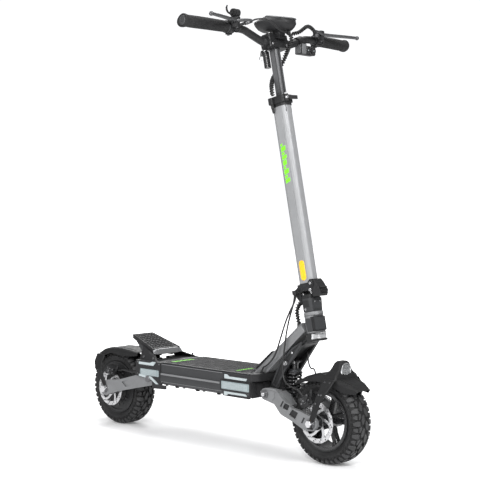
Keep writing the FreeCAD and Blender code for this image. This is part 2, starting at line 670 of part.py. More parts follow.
def switch_parts():
    bar_room = bent_tube(BAR_ROUTE, BAR_RADIUS, 45)
    start = V(*BAR_ROUTE[0])
    way = (V(*BAR_ROUTE[1]) - start).normalize()
    cuff = rod_between(start + way * 37, start + way * 60, 15.5)
    face_box = rounded_box(236, 262, 97, 121, 1213, 1246, 4, X_AXIS)
    body = rounded_box(232, 252, 121, 175, 1214, 1242, 6, X_AXIS)
    shell = fuse([cuff, face_box, body]).cut(bar_room)
    buttons = []
    for row in BUTTON_ROWS:
        well = Part.makeCylinder(BUTTON_RADIUS + 0.3, 20, V(246, row, BUTTON_Z), X_AXIS)
        shell = shell.cut(well)
        buttons.append(Part.makeCylinder(BUTTON_RADIUS, 11, V(248.2, row, BUTTON_Z), X_AXIS))
    return {"switch_box": [shell], "mode_button": [buttons[0]], "horn_button": [buttons[1]]}


# ---- wheels -------------------------------------------------------------------------

TYRE_OUTER = [(WHEEL_RADIUS, TREAD_HALF), (124, 32), (117, 37.5), (106, TYRE_HALF), (96, 37.5), (89, 31)]
TYRE_INNER = [(RIM_RADIUS + 0.2, 31), (RIM_RADIUS + 0.2, 24), (94, 27), (106, 30), (116, 24), (119, 12)]
FLANGE_RADIUS = 88.0
SPOKES = 5
SPOKE_START = 2.0


def tyre(centre):
    outer = list(reversed(TYRE_OUTER)) + [(r, -y) for r, y in TYRE_OUTER]
    inner = [(r, -y) for r, y in TYRE_INNER] + list(reversed(TYRE_INNER))
    return turned_y(outer + inner, centre)


def rim_barrel(centre):
    profile = [(77, -33.5), (FLANGE_RADIUS, -33.5), (FLANGE_RADIUS, -31.3), (RIM_RADIUS, -31.3),
               (RIM_RADIUS, 31.3), (FLANGE_RADIUS, 31.3), (FLANGE_RADIUS, 33.5), (77, 33.5)]
    return turned_y(profile, centre)


def disc(centre):
    """Brake disc on the rider's right, with a ring of holes and a waved inner web."""
    low = -DISC_INNER_Y - DISC_THICK
    plate = ring_y(centre, DISC_RADIUS, 16, low, -DISC_INNER_Y)
    holes = []
    for index in range(12):
        turn = math.radians(30 * index)
        spot = (centre[0] + 49 * math.cos(turn), centre[1] + 49 * math.sin(turn))
        holes.append(rod_y(spot, 4, low - 1, -DISC_INNER_Y + 1))
    for index in range(6):
        turn = math.radians(60 * index + 15)
        spot = (centre[0] + 32 * math.cos(turn), centre[1] + 32 * math.sin(turn))
        holes.append(rod_y(spot, 7, low - 1, -DISC_INNER_Y + 1))
    return cut(plate, holes)


def front_wheel_parts():
    spokes = []
    for index in range(SPOKES):
        spoke = prism_y([(20, -9), (78, -6), (78, 6), (20, 9)], -7, 7)
        spoke.rotate(V(0, 0, 0), Y_AXIS, -(SPOKE_START + 72 * index))
        spoke.translate(at(FRONT_AXLE))
        spokes.append(spoke)
    hub = fuse([rod_y(FRONT_AXLE, 24, -34, 34), rod_y(FRONT_AXLE, 19, -DISC_INNER_Y, 44)])
    wheel = fuse([rim_barrel(FRONT_AXLE), hub] + spokes)
    wheel = wheel.cut(rod_y(FRONT_AXLE, 14, -80, 80))
    bearings = [ring_y(FRONT_AXLE, 13.95, AXLE_RADIUS + RUNNING_GAP, 30, 42),
                ring_y(FRONT_AXLE, 13.95, AXLE_RADIUS + RUNNING_GAP, -59, -47)]
    return {
        "front_tyre": [tyre(FRONT_AXLE)],
        "front_rim": [wheel] + bearings,
        "front_disc": [disc(FRONT_AXLE)],
    }


def rear_wheel_parts():
    # hub motor: a drum with domed covers on both sides and a winding ring inside
    drum = turned_y([(14, -36), (52, -36), (68, -31), (78, -31), (78, 31), (68, 31), (52, 36), (14, 36)],
                    REAR_AXLE)
    drum = fuse([drum, rim_barrel(REAR_AXLE), rod_y(REAR_AXLE, 19, -DISC_INNER_Y, -35)])
    hollow = turned_y([(14, -27), (70, -27), (70, 27), (14, 27)], REAR_AXLE)
    drum = drum.cut(hollow).cut(rod_y(REAR_AXLE, 14, -80, 80))
    bearings = [ring_y(REAR_AXLE, 13.95, AXLE_RADIUS + 1 + RUNNING_GAP, 25, 34),
                ring_y(REAR_AXLE, 13.95, AXLE_RADIUS + 1 + RUNNING_GAP, -58, -48)]
    return {
        "rear_tyre": [tyre(REAR_AXLE)],
        "rear_hub_motor": [drum] + bearings,
        "rear_disc": [disc(REAR_AXLE)],
    }


# ---- swinging arms ------------------------------------------------------------------

FRONT_ARM_TOP = [(264, 206), (284, 210), (317, 209), (352, 185), (389, 163.5), (420, 158), (450, 150),
                 (470, 146), (480, 136), (482, 122), (470, 108), (452, 106)]
FRONT_ARM_LOW = [(430, 108), (394, 124), (340, 142), (309, 164), (264, 174), (256, 182), (254, 196)]
FRONT_ARM_PLAN = [(240, 66), (312, 66), (352, 78), (500, 78), (500, 90), (350, 90), (310, 78),
                  (240, 78)]
FRONT_CHEEK = [(312, 176), (318, 200), (330, 204), (347, 194), (373, 169), (368, 160), (340, 160)]
FRONT_BRIDGE = [(294, 170), (327, 151), (331, 166), (335, 178), (318, 182), (296, 181)]
POCKETS = [[(353, 160), (372, 155), (381, 170), (362, 176)],
           [(378, 143), (401, 133), (413, 153), (391, 160)]]


def front_arm_parts():
    blank = prism_y(FRONT_ARM_TOP + FRONT_ARM_LOW, 60, 95)
    arm = blank.common(prism_z(FRONT_ARM_PLAN, 90, 230))
    arm = cut(arm, [prism_y(pocket, 86, 96) for pocket in POCKETS])
    cheek = prism_y(FRONT_CHEEK, 48, 76)
    tube = rod_y(FRONT_PIVOT, 15, 52, 70)
    bridge = prism_y(FRONT_BRIDGE, -52, 52)
    link = prism_y([(262, 176), (262, 203), (318, 206), (335, 180), (330, 158), (300, 168)], 54, 68)
    lug = prism_y([(304, 176), (306, 188), (312, 192), (320, 192), (326, 188), (328, 176)], 12, 20)
    solid = fuse([bridge] + both_sides(arm) + both_sides(cheek) + both_sides(tube) + both_sides(link)
                 + both_sides(lug))
    solid = cut(solid, [rod_y(FRONT_PIVOT, PIVOT_RADIUS + RUNNING_GAP, -120, 120),
                        rod_y(FRONT_AXLE, AXLE_RADIUS + 0.1, -120, 120),
                        rod_y(FRONT_SHOCK_LOW, SHOCK_PIN_RADIUS, -40, 40),
                        rod_y(FRONT_SHOCK_LOW, 11.5, -11.9, 11.9)])
    pin = rod_y(FRONT_SHOCK_LOW, SHOCK_PIN_RADIUS, -23, 23)
    return {"front_arm": [solid], "front_axle": front_axle() + [pin]}


REAR_ARM_TOP = [(-213, 203), (-237, 203), (-286, 193), (-386, 166), (-440, 160), (-468, 155), (-481, 142),
                (-483, 122), (-472, 108), (-452, 105)]
REAR_ARM_LOW = [(-440, 112), (-386, 127), (-240, 160), (-212, 168), (-207, 180), (-207, 192)]
REAR_ARM_PLAN = [(-190, 66), (-262, 66), (-300, 76), (-500, 76), (-500, 88), (-298, 88), (-260, 78),
                 (-190, 78)]
REAR_BRIDGE = [(-248, 160), (-276, 152), (-300, 149), (-302, 158), (-278, 166), (-248, 174)]


def rear_arm_parts():
    blank = prism_y(REAR_ARM_TOP + REAR_ARM_LOW, 60, 95)
    arm = blank.common(prism_z(REAR_ARM_PLAN, 90, 230))
    arm = cut(arm, [prism_y([(-330, 150), (-352, 145), (-372, 160), (-346, 168)], 84, 96)])
    tube = rod_y(REAR_PIVOT, 14, 47, 70)
    bridge = prism_y(REAR_BRIDGE, -68, 68)
    lug = prism_y([(-250, 160), (-247, 172), (-254, 176), (-266, 173), (-272, 166), (-272, 156)], 12, 20)
    solid = fuse([bridge] + both_sides(arm) + both_sides(tube) + both_sides(lug))
    solid = cut(solid, [rod_y(REAR_PIVOT, PIVOT_RADIUS + RUNNING_GAP, -120, 120),
                        rod_y(REAR_AXLE, AXLE_RADIUS + 1.1, -120, 120),
                        rod_y(REAR_SHOCK_LOW, SHOCK_PIN_RADIUS, -40, 40),
                        rod_y(REAR_SHOCK_LOW, 11.5, -11.9, 11.9)])
    pin = rod_y(REAR_SHOCK_LOW, SHOCK_PIN_RADIUS, -23, 23)
    return {"rear_arm": [solid], "rear_axle": rear_axle() + [pin]}


def nuts(centre, radius, near, far):
    return [hexagon_y(centre, radius, near, far), hexagon_y(centre, radius, -far, -near)]


def front_axle():
    pieces = [rod_y(FRONT_AXLE, AXLE_RADIUS, -103, 103), rod_y(FRONT_AXLE, 9.5, 44.5, 78),
              rod_y(FRONT_AXLE, 9.5, -78, -63.5)]
    return [fuse(pieces + nuts(FRONT_AXLE, 11, 93.4, 103))]


def rear_axle():
    """The hub motor's fixed axle with its winding ring."""
    pieces = [rod_y(REAR_AXLE, AXLE_RADIUS + 1, -99, 99), rod_y(REAR_AXLE, 10.5, 38, 76),
              rod_y(REAR_AXLE, 10.5, -76, -63.5), rod_y(REAR_AXLE, 62, -20, 20)]
    return [fuse(pieces + nuts(REAR_AXLE, 12.5, 88, 99))]


def caliper(middle, turn, top_reach):
    """Brake caliper over the disc's rim, with a tab to the arm's inner face."""
    block = rounded_box(-24, 24, -74, -48, -13, 15, 5, Y_AXIS)
    nose = rounded_box(-15, 15, -50, -44, -8, 8, 4, Y_AXIS)
    tab = box(-12, 12, -top_reach, -72, -30, 6)
    shape = fuse([block, nose, tab])
    shape.rotate(V(0, 0, 0), Y_AXIS, turn)
    shape.translate(at(middle))
    return shape


def caliper_parts():
    front = caliper((425, 187), -30, 77.9)
    front = front.cut(ring_y(FRONT_AXLE, 62, 5, -64, -60))
    front = front.cut(rod_y(FRONT_AXLE, 50, -80, -40))
    rear = caliper((-449, 188), 8, 75.9)
    rear = rear.cut(ring_y(REAR_AXLE, 62, 5, -64, -60))
    rear = rear.cut(rod_y(REAR_AXLE, 50, -80, -40))
    return {"front_caliper": [front], "rear_caliper": [rear]}


# ---- mudguards, stays and lamp ------------------------------------------------------

SKIN = 3.0


def guard_ring(ridge, edge, half):
    """Section of a mudguard: an upturned U of even thickness, square to its run."""
    down = (at(edge) - at(ridge))
    depth = down.Length
    down.normalize()
    shoulder = min(0.4 * depth, 12)
    flat = half - min(9, half * 0.4)
    outer = [(-half, depth), (-half, shoulder), (-flat, 0), (flat, 0), (half, shoulder), (half, depth)]
    inner = [(half - SKIN, depth), (half - SKIN, shoulder + 1.2), (flat - 1.2, SKIN),
             (-flat + 1.2, SKIN), (-half + SKIN, shoulder + 1.2), (-half + SKIN, depth)]
    ring = []
    for y, low in outer + inner:
        ring.append(at(ridge) + down * low + V(0, y, 0))
    return ring


FRONT_GUARD = [((360, 234), (368, 214), 46), ((400, 254), (408, 224), 50),
               ((446, 268), (449, 236), 52), ((500, 272), (493, 240), 52),
               ((527, 270), (514, 238), 52), ((561, 254), (544, 219), 42),
               ((582, 228), (572, 217), 28)]
REAR_GUARD = [((-336, 258), (-336, 246), 50), ((-380, 262), (-379, 240), 50),
              ((-425, 265), (-425, 240), 50), ((-473, 264), (-471, 245), 50),
              ((-512, 256), (-503, 236), 49), ((-545, 240), (-530, 222), 46),
              ((-568, 208), (-555, 202), 42), ((-580, 184), (-572, 180), 37)]
LAMP_CENTRE = V(506, 0, 278)


def guard_parts():
    front = loft([guard_ring(*station) for station in FRONT_GUARD])
    rear = loft([guard_ring(*station) for station in REAR_GUARD])

    levels = [(127, 452, 471, 91.8), (190, 473, 497, 91.8), (217, 483, 516, 91.8), (252, 473, 520, 54)]
    sections = []
    for z, x0, x1, y in levels:
        sections.append([V(x0, y - 1.5, z), V(x1, y - 1.5, z), V(x1, y + 1.5, z), V(x0, y + 1.5, z)])
    stay = loft(sections)
    foot = rod_y(FRONT_AXLE, 15, 90.3, 93.3)
    stay = fuse([stay, foot]).cut(rod_y(FRONT_AXLE, AXLE_RADIUS + 0.1, 60, 120))

    rear_stay_levels = [(-462, 89.6, 140), (-480, 89.6, 190), (-500, 51.6, 232)]
    rear_sections = []
    for x, y, z0 in rear_stay_levels:
        rear_sections.append([V(x - 8, y - 1.2, z0), V(x + 8, y - 1.2, z0), V(x + 8, y + 1.2, z0),
                              V(x - 8, y + 1.2, z0)])
    rear_stay = loft(rear_sections)
    return {
        "front_mudguard": [front] + both_sides(cut(stay, [front])),
        "rear_mudguard": [rear] + both_sides(cut(rear_stay, [rear])),
    }


def lamp_parts():
    can = Part.makeCylinder(21, 26, LAMP_CENTRE - X_AXIS * 24, X_AXIS)
    back = Part.makeCone(10, 21, 18, LAMP_CENTRE - X_AXIS * 42, X_AXIS)
    shell = fuse([can, back])
    shell = shell.cut(Part.makeCylinder(17.5, 18, LAMP_CENTRE - X_AXIS * 14, X_AXIS))
    room = guard_parts()["front_mudguard"][0]
    shell = shell.cut(room)
    shell = max(shell.Solids, key=lambda piece: piece.BoundBox.ZMax)
    lens = Part.makeCylinder(17.4, 6, LAMP_CENTRE - X_AXIS * 10, X_AXIS)
    lens = max(lens.cut(room).Solids, key=lambda piece: piece.BoundBox.ZMax)
    return {"headlight": [shell, lens]}


# ---- springs and dampers ------------------------------------------------------------

def shock(low, high, spring_from, spring_to, spring_radius):
    """Damper body on the upper eye, rod on the lower eye and the coil between their seats."""
    eye_low = at(low)
    eye_high = at(high)
    way = (eye_low - eye_high).normalize()
    length = (eye_low - eye_high).Length
    seat_high = eye_high + way * (length - spring_to)
    seat_low = eye_high + way * (length - spring_from)
    body = fuse([rod_y(high, 9, -10, 10), Part.makeCylinder(11, length - 42, eye_high, way),
                 Part.makeCylinder(spring_radius, 4, seat_high - way * 4, way)])
    bore = Part.makeCylinder(5.2, length, eye_high + way * 22, way)
    body = cut(body, [bore, rod_y(high, SHOCK_PIN_RADIUS + RUNNING_GAP, -30, 30)])
    rod = fuse([Part.makeCylinder(5, length - 34, eye_low - way * (length - 34), way),
                Part.makeCylinder(spring_radius, 4, seat_low, way),
                rod_y(low, 9, -10, 10)])
    rod = cut(rod, [rod_y(low, SHOCK_PIN_RADIUS + LOOSE_GAP, -30, 30)])
    spring = coil(seat_low, seat_high, spring_radius - 3.6, 6.4, 4.5)
    return body, rod, spring


def shock_parts():
    front = shock(FRONT_SHOCK_LOW, FRONT_SHOCK_HIGH, 14, 66, 25)
    rear = shock(REAR_SHOCK_LOW, REAR_SHOCK_HIGH, 14, 62, 22)
    return {
        "front_shock_body": [front[0]],
        "front_shock_rod": [front[1]],
        "front_spring": [front[2]],
        "rear_shock_body": [rear[0]],
        "rear_shock_rod": [rear[1]],
        "rear_spring": [rear[2]],
    }


# ---- kickstand and cables -----------------------------------------------------------

def stand_parts():
    height = STAND_PIVOT[1]
    leg = bent_tube([(-40, 84, height), (60, 84, height), (112, 88, height)], 5.5, 60)
    eye = rod_y(STAND_PIVOT, 8.5, 78.5, 89.5)
    leg = fuse([leg, eye]).cut(rod_y(STAND_PIVOT, 4 + RUNNING_GAP, 60, 110))
    return {"kickstand": [leg]}


STEM_CABLE = [(284, 8, 1266), (296, 9, 1262), (294, 14, 1240), (276, 22, 1222), (252, 32, 1198),
              (236, 30, 1168), (232, 4, 1140), (244, -20, 1114), (253, -28, 1094), (256.5, -28, 1076)]
LEFT_CABLE = [(291, 19, 1262), (296, 42, 1266), (296, 64, 1280), (290, 92, 1295), (280, 128, 1291),
              (276.6, 138, 1285)]
RIGHT_CABLE = [(290, 0, 1262), (295, -42, 1266), (296, -64, 1280), (290, -92, 1295), (280, -128, 1291),
               (276.6, -138, 1285)]
HARNESS = [stem_point(-18, 0, -26), stem_point(-46, 0, -26), (329, 0, 440), (337.5, -4, 414),
           (340.7, -4, 401.5)]
BRAKE_CABLE = [stem_point(-31, -31.2, HOLDER_LOW), stem_point(-31, -31.2, HOLDER_LOW - 13), (322, -36, 420),
               (304, -46, 352), (290, -52, 304), (262, -55, 272), (240, -56, 264), (240, -56, 247)]
FRONT_CABLE = [stem_point(-31, -37, HOLDER_LOW - 0.1), stem_point(-31, -37, HOLDER_LOW - 13),
               (330, -42, 400), (320, -47, 320), (318, -52, 262), (332, -58, 228), (372, -62, 216),
               (397, -62, 211.3), (407, -62, 194.2)]
LAMP_CABLE = [(351, 24, 315), (356, 20, 288), (374, 10, 266), (395, 6, 270), (398, 5, 252)]
REAR_CABLE = [(-252, -84, 235.9), (-252, -84, 214), (-298, -80, 199), (-345, -73, 194), (-388, -66, 198),
              (-408.3, -62, 190.4), (-424, -62, 192.6)]


def cable_parts():
    guard = guard_parts()["front_mudguard"][0]
    return {
        "handlebar_cables": [bent_tube(STEM_CABLE, 3.6, 16), bent_tube(LEFT_CABLE, 2.5, 16),
                             bent_tube(RIGHT_CABLE, 2.5, 16)],
        "steering_cables": [bent_tube(HARNESS, 4.0, 10), bent_tube(BRAKE_CABLE, 2.5, 30)],
        "front_cables": [bent_tube(FRONT_CABLE, 2.5, 20), cut(bent_tube(LAMP_CABLE, 2.2, 12), [guard])],
        "motor_cable": [bent_tube(REAR_CABLE, 3.2, 18)],
    }


# ---- write the pieces ---------------------------------------------------------------

SECTIONS = [deck_parts, head_parts, rear_frame_parts, kick_plate_parts, steer_parts, stem_parts,
            latch_lever, collar_lever, handlebar_parts, display_parts, control_parts, switch_parts,
            front_wheel_parts, rear_wheel_parts, front_arm_parts, rear_arm_parts, caliper_parts,
            guard_parts, lamp_parts, shock_parts, stand_parts, cable_parts]


def main():
    os.makedirs("parts", exist_ok=True)
    for section in SECTIONS:
        for node, solids in section().items():
            for solid in solids:
                if len(solid.Solids) != 1 or not solid.isValid():
                    raise ValueError(node + " holds a piece that isn't one sound solid")
            shape = solids[0] if len(solids) == 1 else Part.makeCompound(solids)
            shape.exportStep("parts/" + node + ".step")


main()
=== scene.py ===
import math

import bmesh
import bpy
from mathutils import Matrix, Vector


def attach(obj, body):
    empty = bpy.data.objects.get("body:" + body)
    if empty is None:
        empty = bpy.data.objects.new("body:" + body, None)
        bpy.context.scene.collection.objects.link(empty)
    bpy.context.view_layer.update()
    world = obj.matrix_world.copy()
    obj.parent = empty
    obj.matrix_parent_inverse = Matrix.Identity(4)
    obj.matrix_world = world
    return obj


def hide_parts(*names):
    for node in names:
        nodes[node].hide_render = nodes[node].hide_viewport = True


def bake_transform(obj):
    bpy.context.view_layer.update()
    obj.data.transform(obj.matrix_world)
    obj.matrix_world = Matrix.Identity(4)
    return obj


# Electric kick scooter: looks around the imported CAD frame. Shapes are written in
# millimetres in the row frame (+X forward, +Y rider's left, +Z up) and scaled to metres.

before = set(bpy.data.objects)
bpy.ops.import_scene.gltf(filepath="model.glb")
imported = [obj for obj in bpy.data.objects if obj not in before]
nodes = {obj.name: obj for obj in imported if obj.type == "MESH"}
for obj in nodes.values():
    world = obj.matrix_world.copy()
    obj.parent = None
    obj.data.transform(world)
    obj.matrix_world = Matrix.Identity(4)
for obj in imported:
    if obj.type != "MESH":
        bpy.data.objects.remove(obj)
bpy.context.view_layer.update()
MM = 0.001

FRONT_AXLE = (460.0, 127.5)
REAR_AXLE = (-460.0, 127.5)
LEAN = math.radians(11.55)
STEM_X = 381.0
STEM_Z = 497.0
# heights up the stem: the collar's top face and the bar clamp's
COLLAR_TOP = 590.0
CLAMP_TOP = 775.0


# ---- places -------------------------------------------------------------------------

def side(x, z, y):
    """A point from an outline drawn in side view."""
    return Vector((x, y, z))


def top(x, y, z):
    """A point from an outline drawn in top view."""
    return Vector((x, y, z))


def lean(ahead, left, up):
    """A point of the stem's upright frame at its leaned place."""
    x = STEM_X + ahead * math.cos(LEAN) - up * math.sin(LEAN)
    z = STEM_Z + ahead * math.sin(LEAN) + up * math.cos(LEAN)
    return Vector((x, left, z))


def lean_side(ahead, up, left):
    """A point from an outline drawn on the stem's side."""
    return lean(ahead, left, up)


def lean_front(left, up, ahead):
    """A point from an outline drawn on the stem's front."""
    return lean(ahead, left, up)


def front(y, z, x):
    """A point from an outline drawn in front view."""
    return Vector((x, y, z))


STEM_UP = lean(0, 0, 1) - lean(0, 0, 0)
STEM_AHEAD = lean(1, 0, 0) - lean(0, 0, 0)


def mirror(point):
    """The same point on the scooter's other side."""
    return Vector((point[0], -point[1], point[2]))


def blend_points(points, share):
    """Smooth curve through a list of tuples, at a share from 0 to 1 of its length in steps."""
    place = min(share * (len(points) - 1), len(points) - 1.0001)
    k = int(place)
    t = place - k
    p0, p1 = points[max(k - 1, 0)], points[k]
    p2, p3 = points[k + 1], points[min(k + 2, len(points) - 1)]
    made = []
    for a, b, c, d in zip(p0, p1, p2, p3):
        bend = 2 * b + (c - a) * t + (2 * a - 5 * b + 4 * c - d) * t * t
        made.append(0.5 * (bend + (3 * b - a - 3 * c + d) * t ** 3))
    return made


def rect(u0, u1, v0, v1):
    return [(u0, v0), (u1, v0), (u1, v1), (u0, v1)]


def grown(outline, share):
    """The outline scaled about the mean of its points."""
    mid_u = sum(u for u, _ in outline) / len(outline)
    mid_v = sum(v for _, v in outline) / len(outline)
    return [(mid_u + (u - mid_u) * share, mid_v + (v - mid_v) * share) for u, v in outline]


def on_circle(radius, turn):
    return (radius * math.cos(turn), radius * math.sin(turn))


def eased(outline, radius, steps=3):
    """The outline with its corners rounded."""
    made = []
    for k, corner in enumerate(outline):
        here = Vector(corner)
        back = Vector(outline[k - 1]) - here
        ahead = Vector(outline[(k + 1) % len(outline)]) - here
        reach = min(radius, 0.45 * back.length, 0.45 * ahead.length)
        first = here + back.normalized() * reach
        last = here + ahead.normalized() * reach
        for n in range(steps + 1):
            t = n / steps
            made.append(tuple(first * (1 - t) ** 2 + here * 2 * t * (1 - t) + last * t * t))
    return made


# ---- meshes -------------------------------------------------------------------------

class Form:
    """Points and faces of one piece, gathered in millimetres."""

    def __init__(self):
        self.points = []
        self.faces = []

    def add(self, points, faces):
        base = len(self.points)
        self.points.extend(Vector(p) for p in points)
        self.faces.extend([base + i for i in face] for face in faces)
        return self

    def loft(self, rings, capped=True, joined=False):
        """Skin through rings with the same number of points; joined closes last to first."""
        count = len(rings[0])
        faces = []
        for k in range(len(rings) if joined else len(rings) - 1):
            low = k * count
            high = ((k + 1) % len(rings)) * count
            for i in range(count):
                j = (i + 1) % count
                faces.append([low + i, low + j, high + j, high + i])
        if capped and not joined:
            faces.append(list(range(count))[::-1])
            faces.append([(len(rings) - 1) * count + i for i in range(count)])
        return self.add([p for ring in rings for p in ring], faces)

    def prism(self, outline, low, high, place=side):
        return self.loft([[place(u, v, low) for u, v in outline],
                          [place(u, v, high) for u, v in outline]])

    def border(self, stations, place=side):
        """Frame round an opening, through (outline, level) pairs that close on themselves."""
        return self.loft([[place(u, v, w) for u, v in outline] for outline, w in stations], joined=True)

    def block(self, x0, x1, y0, y1, z0, z1):
        return self.prism(rect(x0, x1, y0, y1), z0, z1, top)

    def turned(self, profile, start, end, sides=24, phase=0.0, joined=False):
        """Rings of (distance along, radius) about the line from start to end; joined leaves a bore."""
        way = (Vector(end) - Vector(start)).normalized()
        path = [Vector(start) + way * along for along, _ in profile]
        one, two = cross_ways(way)
        rings = []
        for spot, (_, radius) in zip(path, profile):
            rings.append([spot + (one * math.cos(a) + two * math.sin(a)) * radius
                          for a in circle(sides, phase)])
        return self.loft(rings, joined=joined)

    def lathe(self, profile, centre, steps=72, closed=True):
        """Profile of (radius, y) turned about the Y axis through the (x, z) centre."""
        rings = []
        for turn in circle(steps):
            rings.append([wheel_point(centre, radius, turn, y) for radius, y in profile])
        if closed:
            return self.loft(rings, joined=True)
        count = len(profile)
        faces = []
        for k in range(steps):
            for i in range(count - 1):
                far = ((k + 1) % steps) * count
                faces.append([k * count + i, k * count + i + 1, far + i + 1, far + i])
        return self.add([p for ring in rings for p in ring], faces)

    def sweep(self, path, widths, sides=16, heights=None, capped=True):
        """Round or oval section carried along a path; widths and heights are half sizes."""
        heights = heights or widths
        rings = []
        for spot, (one, two), width, height in zip(path, carried(path), widths, heights):
            rings.append([spot + one * math.cos(a) * width + two * math.sin(a) * height
                          for a in circle(sides)])
        return self.loft(rings, capped=capped)

    def ball(self, centre, radius, sides=20):
        rows = sides // 2
        rings = []
        for k in range(1, rows):
            tilt = math.pi * k / rows
            ring = radius * math.sin(tilt)
            rings.append([Vector(centre) + Vector((ring * math.cos(a), ring * math.sin(a),
                                                   radius * math.cos(tilt))) for a in circle(sides)])
        return self.loft(rings)

    def bolt(self, start, way, radius=4.0, height=3.0):
        """Socket-head bolt: a round head with a hexagon socket in its top."""
        way = Vector(way).normalized()
        start = Vector(start)
        one, two = cross_ways(way)
        rings = []
        for along, size, sides_round in [(0, 1, True), (height * 0.8, 1, True), (height, 0.85, True),
                                         (height, 0.55, False), (height * 0.35, 0.5, False)]:
            ring = []
            for k, a in enumerate(circle(24)):
                reach = radius * size
                if not sides_round:
                    reach *= math.cos(math.pi / 6) / math.cos((a % (math.pi / 3)) - math.pi / 6)
                ring.append(start + way * along + (one * math.cos(a) + two * math.sin(a)) * reach)
            rings.append(ring)
        return self.loft(rings)

    def bolt_pair(self, spot, radius, height):
        """The same bolt on both sides, facing outwards."""
        for flip in (1, -1):
            self.bolt((spot[0], flip * spot[1], spot[2]), (0, flip, 0), radius, height)
        return self

    def turned_pair(self, profile, spot, sides=24, phase=0.0):
        """The same turned shape on both sides, facing outwards."""
        for flip in (1, -1):
            start = Vector((spot[0], flip * spot[1], spot[2]))
            self.turned(profile, start, start + Vector((0, flip, 0)), sides, phase)
        return self

    def both(self):
        """Adds the mirror image on the other side of the scooter."""
        return self.add([mirror(p) for p in self.points], [face[::-1] for face in self.faces])

    def moved(self, change):
        self.points = [change(p) for p in self.points]
        return self


def circle(steps, phase=0.0):
    return [phase + 2 * math.pi * k / steps for k in range(steps)]


def wheel_point(centre, radius, turn, y):
    return Vector((centre[0] + radius * math.cos(turn), y, centre[1] + radius * math.sin(turn)))


def cross_ways(way):
    """Two directions square to a way and to each other."""
    guide = Vector((0, 0, 1)) if abs(way.z) < 0.9 else Vector((1, 0, 0))
    one = way.cross(guide).normalized()
    return one, way.cross(one).normalized()


def carried(path):
    """Cross directions at each path point, carried along without twisting."""
    ways = []
    for k in range(len(path)):
        ways.append((path[min(k + 1, len(path) - 1)] - path[max(k - 1, 0)]).normalized())
    one, two = cross_ways(ways[0])
    made = [(one, two)]
    for way in ways[1:]:
        one = (one - way * one.dot(way)).normalized()
        made.append((one, way.cross(one).normalized()))
    return made


def dress(obj, finish):
    obj.data.materials.clear()
    obj.data.materials.append(finish)


def add_bevel(obj, width, segments=2, angle=30):
    bevel = obj.modifiers.new("edge", "BEVEL")
    bevel.width = width * MM
    bevel.segments = segments
    bevel.limit_method = "ANGLE"
    bevel.angle_limit = math.radians(angle)
    bevel.harden_normals = True
    bevel.use_clamp_overlap = True


def make(name, form, body, finish, bevel=0.4, segments=2, levels=0, replaces=()):
    """One piece: its mesh, edge rounding, material, body and the CAD nodes it stands for."""
    mesh = bpy.data.meshes.new(name)
    mesh.from_pydata([p * MM for p in form.points], [], form.faces)
    work = bmesh.new()
    work.from_mesh(mesh)
    bmesh.ops.remove_doubles(work, verts=work.verts, dist=2e-6)
    bmesh.ops.recalc_face_normals(work, faces=work.faces)
    work.to_mesh(mesh)
    work.free()
    mesh.shade_smooth()
    obj = bpy.data.objects.new(name, mesh)
    bpy.context.scene.collection.objects.link(obj)
    if bevel:
        add_bevel(obj, bevel, segments)
    else:
        mesh.set_sharp_from_angle(angle=math.radians(38))
    if levels:
        smooth = obj.modifiers.new("smooth", "SUBSURF")
        smooth.levels = smooth.render_levels = levels
    if bevel and not levels:
        obj.modifiers.new("flat", "WEIGHTED_NORMAL").keep_sharp = True
    dress(obj, finish)
    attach(obj, body)
    if replaces:
        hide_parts(*replaces)
    return obj


def cad_piece(name, finish, bevel=0.6, segments=2):
    """A CAD node that stays: joined facets, eased edges and a finish."""
    obj = nodes[name]
    custom = obj.data.attributes.get("custom_normal")
    if custom:
        obj.data.attributes.remove(custom)
    obj.data.shade_smooth()
    weld = obj.modifiers.new("weld", "WELD")
    weld.merge_threshold = 0.00001
    merge = obj.modifiers.new("merge", "DECIMATE")
    merge.decimate_type = "DISSOLVE"
    merge.angle_limit = math.radians(0.6)
    if bevel:
        add_bevel(obj, bevel, segments, 28)
    obj.modifiers.new("flat", "WEIGHTED_NORMAL").keep_sharp = True
    dress(obj, finish)
    return obj


# ---- finishes -----------------------------------------------------------------------

